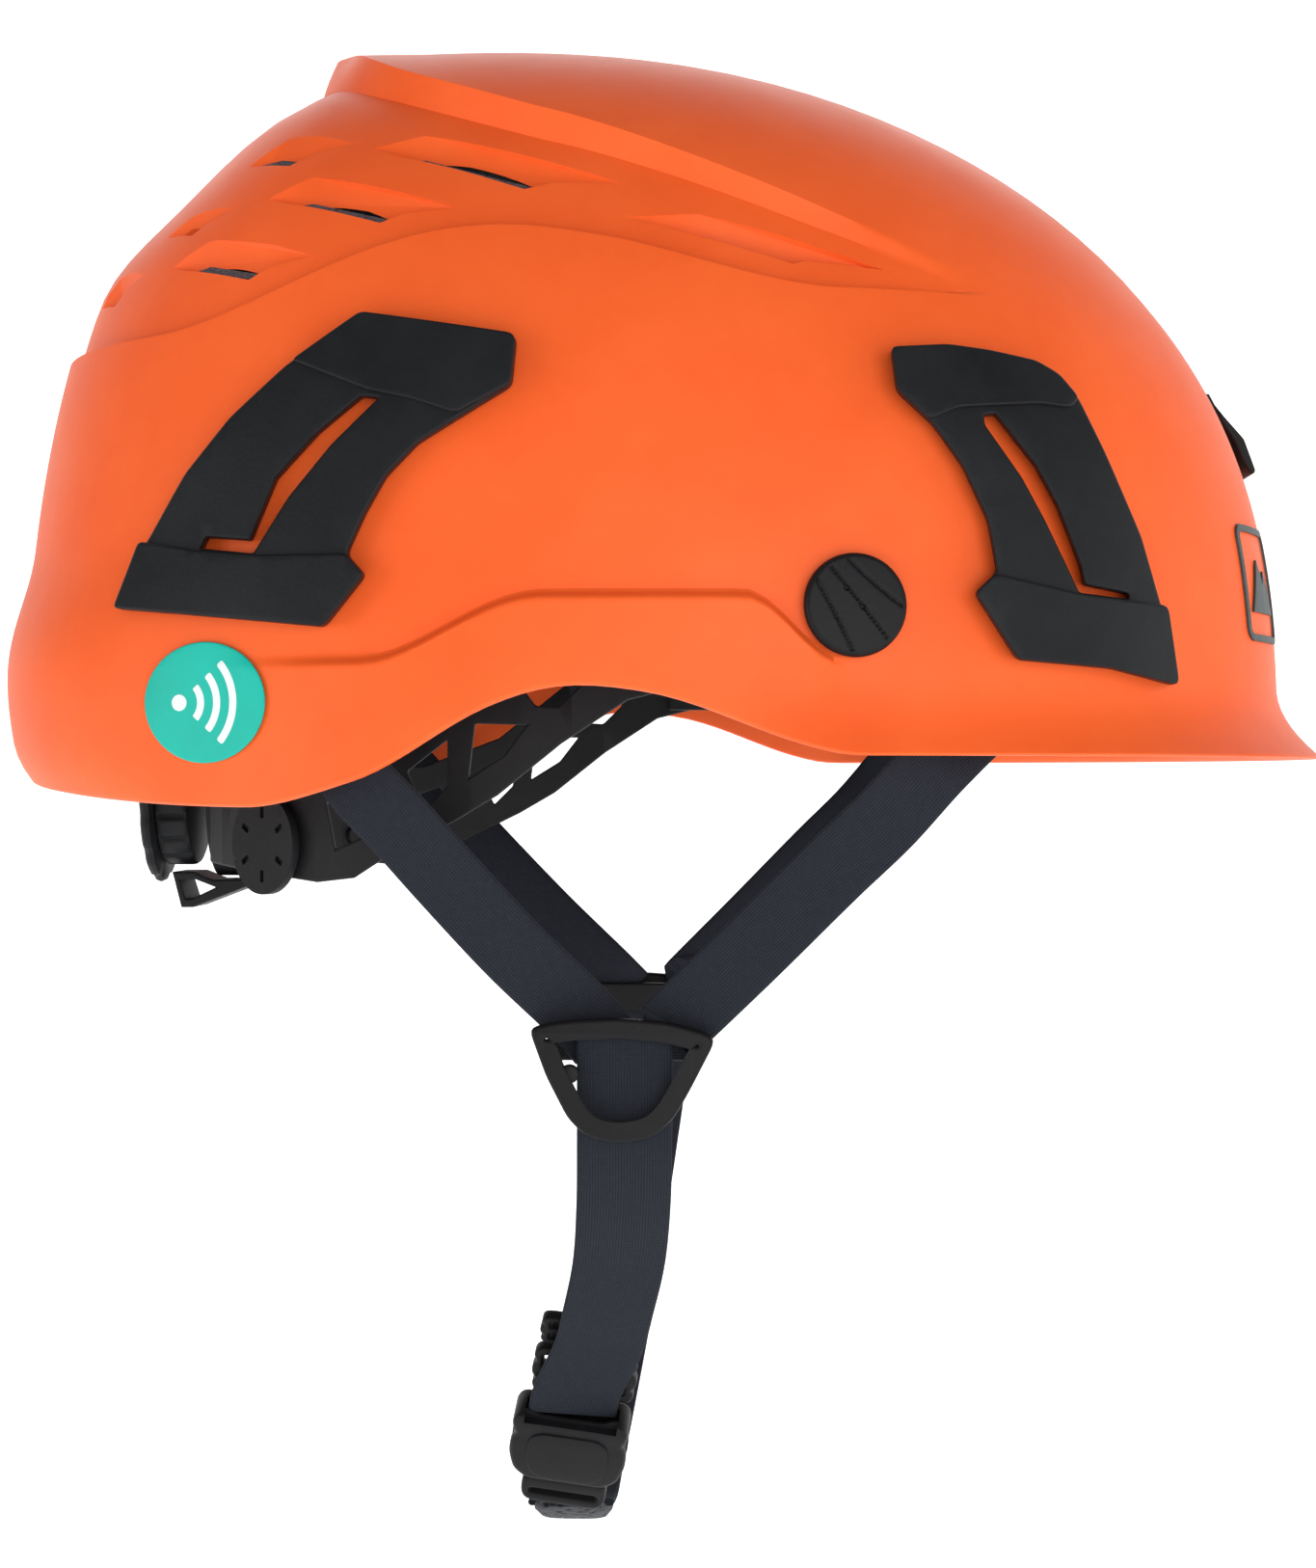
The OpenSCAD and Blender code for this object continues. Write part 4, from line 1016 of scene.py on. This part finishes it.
def build_buckle():
    upright = Matrix.Rotation(math.radians(90), 4, "X")
    place = BUCKLE_PLACE @ upright
    socket = placed("buckle_shell", [rounded(both_sides(SOCKET_SIDE), 1.4)], -4.4, 5.0, 1.3, place,
                    BUCKLE_BLACK, None)
    hollows = [box_points((-10.7, 10.7), (-3.4, 2.6), (-12, 6.6)),
               box_points((-20, 20), (-2.6, 1.0), (-12, 2.6)),
               box_points((-10, 10), (-2.4, 1.4), (0, 14)),
               box_points((-9.9, 9.9), (-6, -3), (7.4, 14))]
    carve(socket, [[BUCKLE_PLACE @ p for p in points] for points in hollows], 40)
    dress(socket, BUCKLE_BLACK, "chin_loop", ["buckle_socket"])
    panel = [(6.2, 5.2), (8.6, 3.4), (9.0, -2.0), (7.6, -5.8), (5.2, -7.0)]
    placed("buckle_panel", [rounded(both_sides(panel), 1.6)], 4.7, 5.5, 0.35, place, BUCKLE_BLACK,
           "chin_loop")
    for node, low, high, share in (("strap_adjuster", 11.5, 12.0, 0.93), ("strap_keeper", 25.0, 7.0, 0.86)):
        scale, aside, reach = high / 12.0, 1.4, 9.6 * share
        rim = [(x * share + aside, low + z * scale) for x, z in both_sides(LADDER_SIDE)]
        slots = [rectangle(aside - reach, aside + reach, low + a * high, low + (a + 0.26) * high)
                 for a in (0.16, 0.58)]
        outlines = [rounded(rim, 0.9)] + [rounded(slot, 0.6) for slot in slots]
        placed(f"{node}_frame", outlines, -3.9, -0.7, 0.6, place, BUCKLE_BLACK, "chin_loop", [node])
    bar = [(8.6, -9.4), (9.2, -10.4), (9.2, -14), (8.2, -15.6), (6.4, -16.2)]
    slot = rounded(rectangle(-7.4, 7.4, -14, -12.4), 0.7)
    placed("insert_bar", [rounded(both_sides(bar), 1.4), slot], -1.8, 3.4, 0.8, place, BUCKLE_BLACK, "insert",
           ["buckle_insert"])
    tongue = [rounded(rectangle(-2.2, 2.2, -9.8, 3.6), 0.8)]
    placed("insert_tongue", tongue, -0.6, 2.2, 0.4, place, BUCKLE_BLACK, "insert")


build_yokes()
build_buckle()

# ---------------------------------------------------------------- liner and pads

LINER_OUTER = -PANEL_WALL - LINER_GAP
PAD_SEAT = -(PANEL_WALL + LINER_GAP + LINER_THICK + 0.9)
BAND_LENGTH, BAND_WIDTH, REAR_SHARE = 106.0, 79.0, 0.91


def build_liner():
    columns = []
    for angle in spread(0, 357, 120):
        a = fold(angle)
        low = liner_z(a)
        heights = spread(low + 2.5, seam_z(a), 12) + [near_top(seam_z(a), k / 10) for k in range(1, 10)]

        def gap(z):
            return min(-WALL, shell_depth(a, z)) - LINER_GAP
        outside = [dome(angle, z, gap(z)) for z in heights]
        inside = [dome(angle, z, gap(z) - LINER_THICK) for z in reversed(heights)]
        foot = [(low + 1.2, 2.0), (low + 0.3, 4.5), (low, 6.5), (low + 0.3, 9.0), (low + 1.2, 11.8)]
        edge = [dome(angle, z, gap(z) - deep) for z, deep in reversed(foot)]
        columns.append(inside + edge + outside)
    rows = len(columns[0])
    points, faces = loft(columns, ring=True)
    points += [dome(0, CROWN_HEIGHT, LINER_OUTER - LINER_THICK), dome(0, CROWN_HEIGHT, LINER_OUTER)]
    faces += fans(len(columns), rows, len(points) - 2, len(points) - 1)
    piece = make_piece("liner_foam", points, faces, FOAM, None)
    cuts = []
    for angle, z, length, _, tilt, _ in VENTS:
        place = on_dome(-angle, z, 0.0) @ Matrix.Rotation(math.radians(tilt), 4, "Z")
        ring = [(3.4 * cos_d(t), 3.4 * sin_d(t)) for t in range(0, 360, 30)]
        slot = [place @ Vector((end * (length / 2 - 4) + x, y, h)) for end in (-1, 1) for x, y in ring
                for h in (-28, 4)]
        cuts += [slot, mirror_points(slot)]
    carve(piece, cuts, 35)
    dress(piece, FOAM, "helmet", ["liner"])


def pad(name, point, thick, material, body, replaces, channels=(), seam=0.9, sides=96):
    """Padded form with rounded corners. point(u, v, out) gives its seat, u and v from -1 to 1."""
    def swell(r, u):
        rise = (1 - r ** 5) ** 0.5 - 0.12 * hump(r, seam, 0.07)
        for middle in channels:
            rise -= 0.4 * hump(u, middle, 0.06) * (1 - r ** 8)
        return max(0.0, thick * rise)
    shares = [1 - (1 - t) ** 1.6 for t in spread(0, 1, 20)]
    points, faces = [], []
    for i in range(sides):
        t = 360 * i / sides
        corner = (signed_pow(cos_d(t), 0.45), signed_pow(sin_d(t), 0.45))
        column = [(k, k * corner[0], k * corner[1], 0.0) for k in (0.5, 0.9, 0.98)]
        column += [(1.0, corner[0], corner[1], 0.15 * thick)]
        for s in shares[:-1]:
            r = 0.99 - 0.99 * s
            column.append((r, r * corner[0], r * corner[1], 0.25 * thick + 0.75 * swell(r, r * corner[0])))
        points += [point(u, v, lift) for _, u, v, lift in column]
    rows = len(points) // sides
    faces = grid_faces(sides, rows, True)
    points += [point(0, 0, 0.0), point(0, 0, 0.25 * thick + 0.75 * swell(0, 0))]
    faces += fans(sides, rows, len(points) - 2, len(points) - 1)
    piece = make_piece(name, points, faces, material, body, replaces, sharp=80)
    return piece


def band_spot(angle, out, rear=1.0):
    length = BAND_LENGTH * (rear if cos_d(angle) < 0 else 1.0) + out
    width, power = BAND_WIDTH + out, 2 / PLAN_POWER
    return (length * signed_pow(cos_d(angle), power), width * signed_pow(sin_d(angle), power))


def build_pads():
    for i, middle in enumerate((38, 128, 232, 322)):
        def side_seat(u, v, out, middle=middle):
            return dome(middle + 15 * u, 87.5 + 27.5 * v, PAD_SEAT - out)
        pad(f"side_pad_{i}", side_seat, 5.0, PAD, "helmet", ["side_pads"] if i == 0 else ())

    def crown_seat(u, v, out):
        r = min(1.0, math.hypot(u, v))
        turn = math.degrees(math.atan2(v, u))
        return dome(turn, near_top(CROWN_HEIGHT * 0.92, 1 - r), PAD_SEAT - out)
    pad("crown_cushion", crown_seat, 5.0, PAD, "helmet", ["crown_pad"], (-0.4, 0.4))

    def brow_seat(u, v, out):
        x, y = band_spot(60 * u, -0.3 - out)
        return Vector((x, y, 24 + 10 * v))
    pad("brow_cushion", brow_seat, 6.0, PAD, "helmet", ["brow_pad"], (-0.66, -0.33, 0, 0.33, 0.66), sides=160)

    def nape_seat(u, v, out):
        x, y = band_spot(180 + 22 * u, -8.6 - out, REAR_SHARE)
        return Vector((x, y, -9 + 17 * v))
    pad("nape_cushion", nape_seat, 6.0, PAD, "cradle", ["nape_pad"], (-0.45, 0.0, 0.45))
    route = [Vector(p) for p in ((-19.1, -12.6, -161.4), (-18.7, 3, -165.6), (-17.9, 16.2, -161.8),
                                 (-16.4, 26.4, -153.5))]
    down = [Vector(n).normalized()
            for n in ((0, -0.75, -0.66), (0, -0.05, -1), (0, 0.5, -0.8), (0, 0.75, -0.65))]

    def chin_seat(u, v, out):
        s = min(0.999, max(0.0, (u + 1) / 2)) * 3
        i = int(s)
        here = route[i].lerp(route[i + 1], s - i)
        face = down[i].lerp(down[i + 1], s - i)
        return here + Vector((8.5 * v, 0, 0)) + face * out
    pad("chin_cushion", chin_seat, 3.4, MESH_CLOTH, "insert", ["chin_pad"])


build_liner()
build_pads()

# ---------------------------------------------------------------- cradle

RACK_X, AXLE_Z = -94.2, -7.0
KNOB_R, FACE_R = 16.2, 20.0


def turned(name, profile, material, body, replaces, ripple=None, count=180):
    """Round piece about the knob's axle from a profile of length and radius."""
    columns = []
    for t in spread(0, 360 - 360 / count, count):
        column = []
        for x, r in profile:
            r += ripple(t, x, r) if ripple else 0.0
            column.append(Vector((x, r * sin_d(t), AXLE_Z + r * cos_d(t))))
        columns.append(column)
    points, faces = loft(columns, ring=True, cap_start=True, cap_end=True)
    return make_piece(name, points, faces, material, body, replaces)


def build_knob():
    def ribs(t, x, r):
        return -0.9 * hump((t * 18 / 360) % 1.0, 0.5, 0.22) if r > 15 and -108.8 < x < -102.4 else 0.0
    grip = [(-109.2, 12), (-109.3, 15.4), (-108.9, 16.0), (-108.3, KNOB_R), (-107.5, KNOB_R),
            (-103.6, KNOB_R), (-102.9, 16.1), (-102.3, 15.7), (-102.0, 15.0), (-102.0, 3.6),
            (-92.6, 3.4), (-92.6, 0.4)]
    turned("knob_grip", grip, BLACK, "knob", ["knob"], ribs, 360)

    def notches(t, x, r):
        return -0.7 * hump((t * 12 / 360) % 1.0, 0.5, 0.3) if r > 18 else 0.0
    face = [(-109.4, 0.4), (-109.4, 18.6), (-109.8, 19.6), (-110.6, FACE_R), (-111.4, 19.7), (-111.9, 18.8),
            (-111.7, 17.2), (-111.3, 16.0), (-111.2, 6.0), (-111.9, 5.2), (-112.2, 0.4)]
    turned("knob_disc", face, BLACK, "knob", ["knob_face"], notches, 240)


def build_racks():
    for side, name in SIDES:
        low = AXLE_Z + (7.8 if side > 0 else -12.3)
        x, y = band_spot(155, 0.8, REAR_SHARE)
        path = [(x, y, low + 2.25), (RACK_X + 0.8, 17, low + 2.25), (RACK_X + 0.6, 12, low + 2.25),
                (RACK_X + 0.6, 0, low + 2.25), (RACK_X + 0.6, -12, low + 2.25)]
        path = [(px, side * py, pz) for px, py, pz in path]
        piece = tape(f"rack_band_{name}", path, [(-1, 0.2 * side, 0)] * 5, 4.5, 1.2, BLACK, None,
                     [f"rack_{name}"])
        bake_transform(piece)


build_knob()
build_racks()

CARRIED_LOOKS = {"black_plastic": BLACK, "steel": STEEL, "foam": FOAM, "pad_cloth": PAD, "webbing": WEBBING,
                 "vent_screen": VENT_SCREEN, "teal_tag": TEAL, "grey_badge": BADGE_GREY,
                 "orange_shell": ORANGE}


def dress_carried():
    """Every node left from the design takes its slot's material; the black plastic ones also get softened
    edges.
    """
    slots = {part["node"]: part["material_slot"] for part in frame["record"]["subparts"]}
    for name, node in NODES.items():
        node.data.materials.clear()
        node.data.materials.append(CARRIED_LOOKS[slots[name]])
        if slots[name] == "black_plastic":
            weld = node.modifiers.new("weld", "WELD")
            weld.merge_threshold = 0.00001
            bevel(node, 0.0004, 2, 35)


dress_carried()

# ---------------------------------------------------------------- floor, light and camera

CAMERA_AWAY, CAMERA_ANGLE, CAMERA_Z = 0.66, 2.0, -0.0053
FOCUS = 1.899754  # focal length as a share of the picture's height


def build_floor():
    """Pale floor that curves up into a backdrop behind the helmet."""
    low = cad_box[0][2] - 0.12
    profile = [(-3.0, low), (1.2, low)]
    profile += [(1.2 + 1.0 * sin_d(t), low + 1.0 - 1.0 * cos_d(t)) for t in range(10, 91, 10)]
    profile += [(2.2, low + 4.0)]
    points = [(x, y, z) for x in (-4.0, 4.0) for y, z in profile]
    rows = len(profile)
    mesh = bpy.data.meshes.new("floor")
    mesh.from_pydata(points, [], [(k, rows + k, rows + k + 1, k + 1) for k in range(rows - 1)])
    piece = bpy.data.objects.new("floor", mesh)
    bpy.context.scene.collection.objects.link(piece)
    smooth(piece, 80)
    s = Shader("pale_floor")
    s.set(Roughness=0.9, Base_Color=colour(244, 244, 244), Specular_IOR_Level=0.2,
          Emission_Color=(1, 1, 1, 1), Emission_Strength=0.75)
    piece.data.materials.append(s.material)


def area_light(name, place, target, size, power):
    light = bpy.data.lights.new(name, "AREA")
    light.shape = "RECTANGLE"
    light.size, light.size_y = size
    light.energy = power
    made = bpy.data.objects.new(name, light)
    made.location = place
    made.rotation_euler = (Vector(target) - Vector(place)).to_track_quat("-Z", "Y").to_euler()
    bpy.context.scene.collection.objects.link(made)


def build_lights():
    middle = (0, 0, 0.03)
    area_light("key", (0.5, -1.5, 0.0), middle, (1.4, 1.2), 15)
    area_light("fill_rear", (-1.5, -0.9, -0.1), middle, (1.2, 1.2), 10)
    area_light("fill_front", (1.6, -0.2, 0.0), middle, (1.0, 1.4), 8)
    area_light("rim", (-0.2, 1.4, 1.1), middle, (1.6, 0.8), 5)
    world = bpy.data.worlds.new("studio")
    world.use_nodes = True
    world.node_tree.nodes["Background"].inputs["Color"].default_value = (1, 1, 1, 1)
    world.node_tree.nodes["Background"].inputs["Strength"].default_value = 0.22
    bpy.context.scene.world = world
    bpy.context.scene.view_settings.view_transform = "Standard"


def build_camera():
    camera = bpy.data.cameras.new("camera")
    camera.sensor_fit = "VERTICAL"
    camera.sensor_height = 24.0
    camera.lens = camera.sensor_height * FOCUS
    camera.clip_start = 0.01
    made = bpy.data.objects.new("camera", camera)
    made.location = (CAMERA_AWAY * sin_d(CAMERA_ANGLE), -CAMERA_AWAY * cos_d(CAMERA_ANGLE), CAMERA_Z)
    made.rotation_euler = (math.radians(90), 0, math.radians(CAMERA_ANGLE))
    bpy.context.scene.collection.objects.link(made)
    bpy.context.scene.camera = made


build_floor()
build_lights()
build_camera()
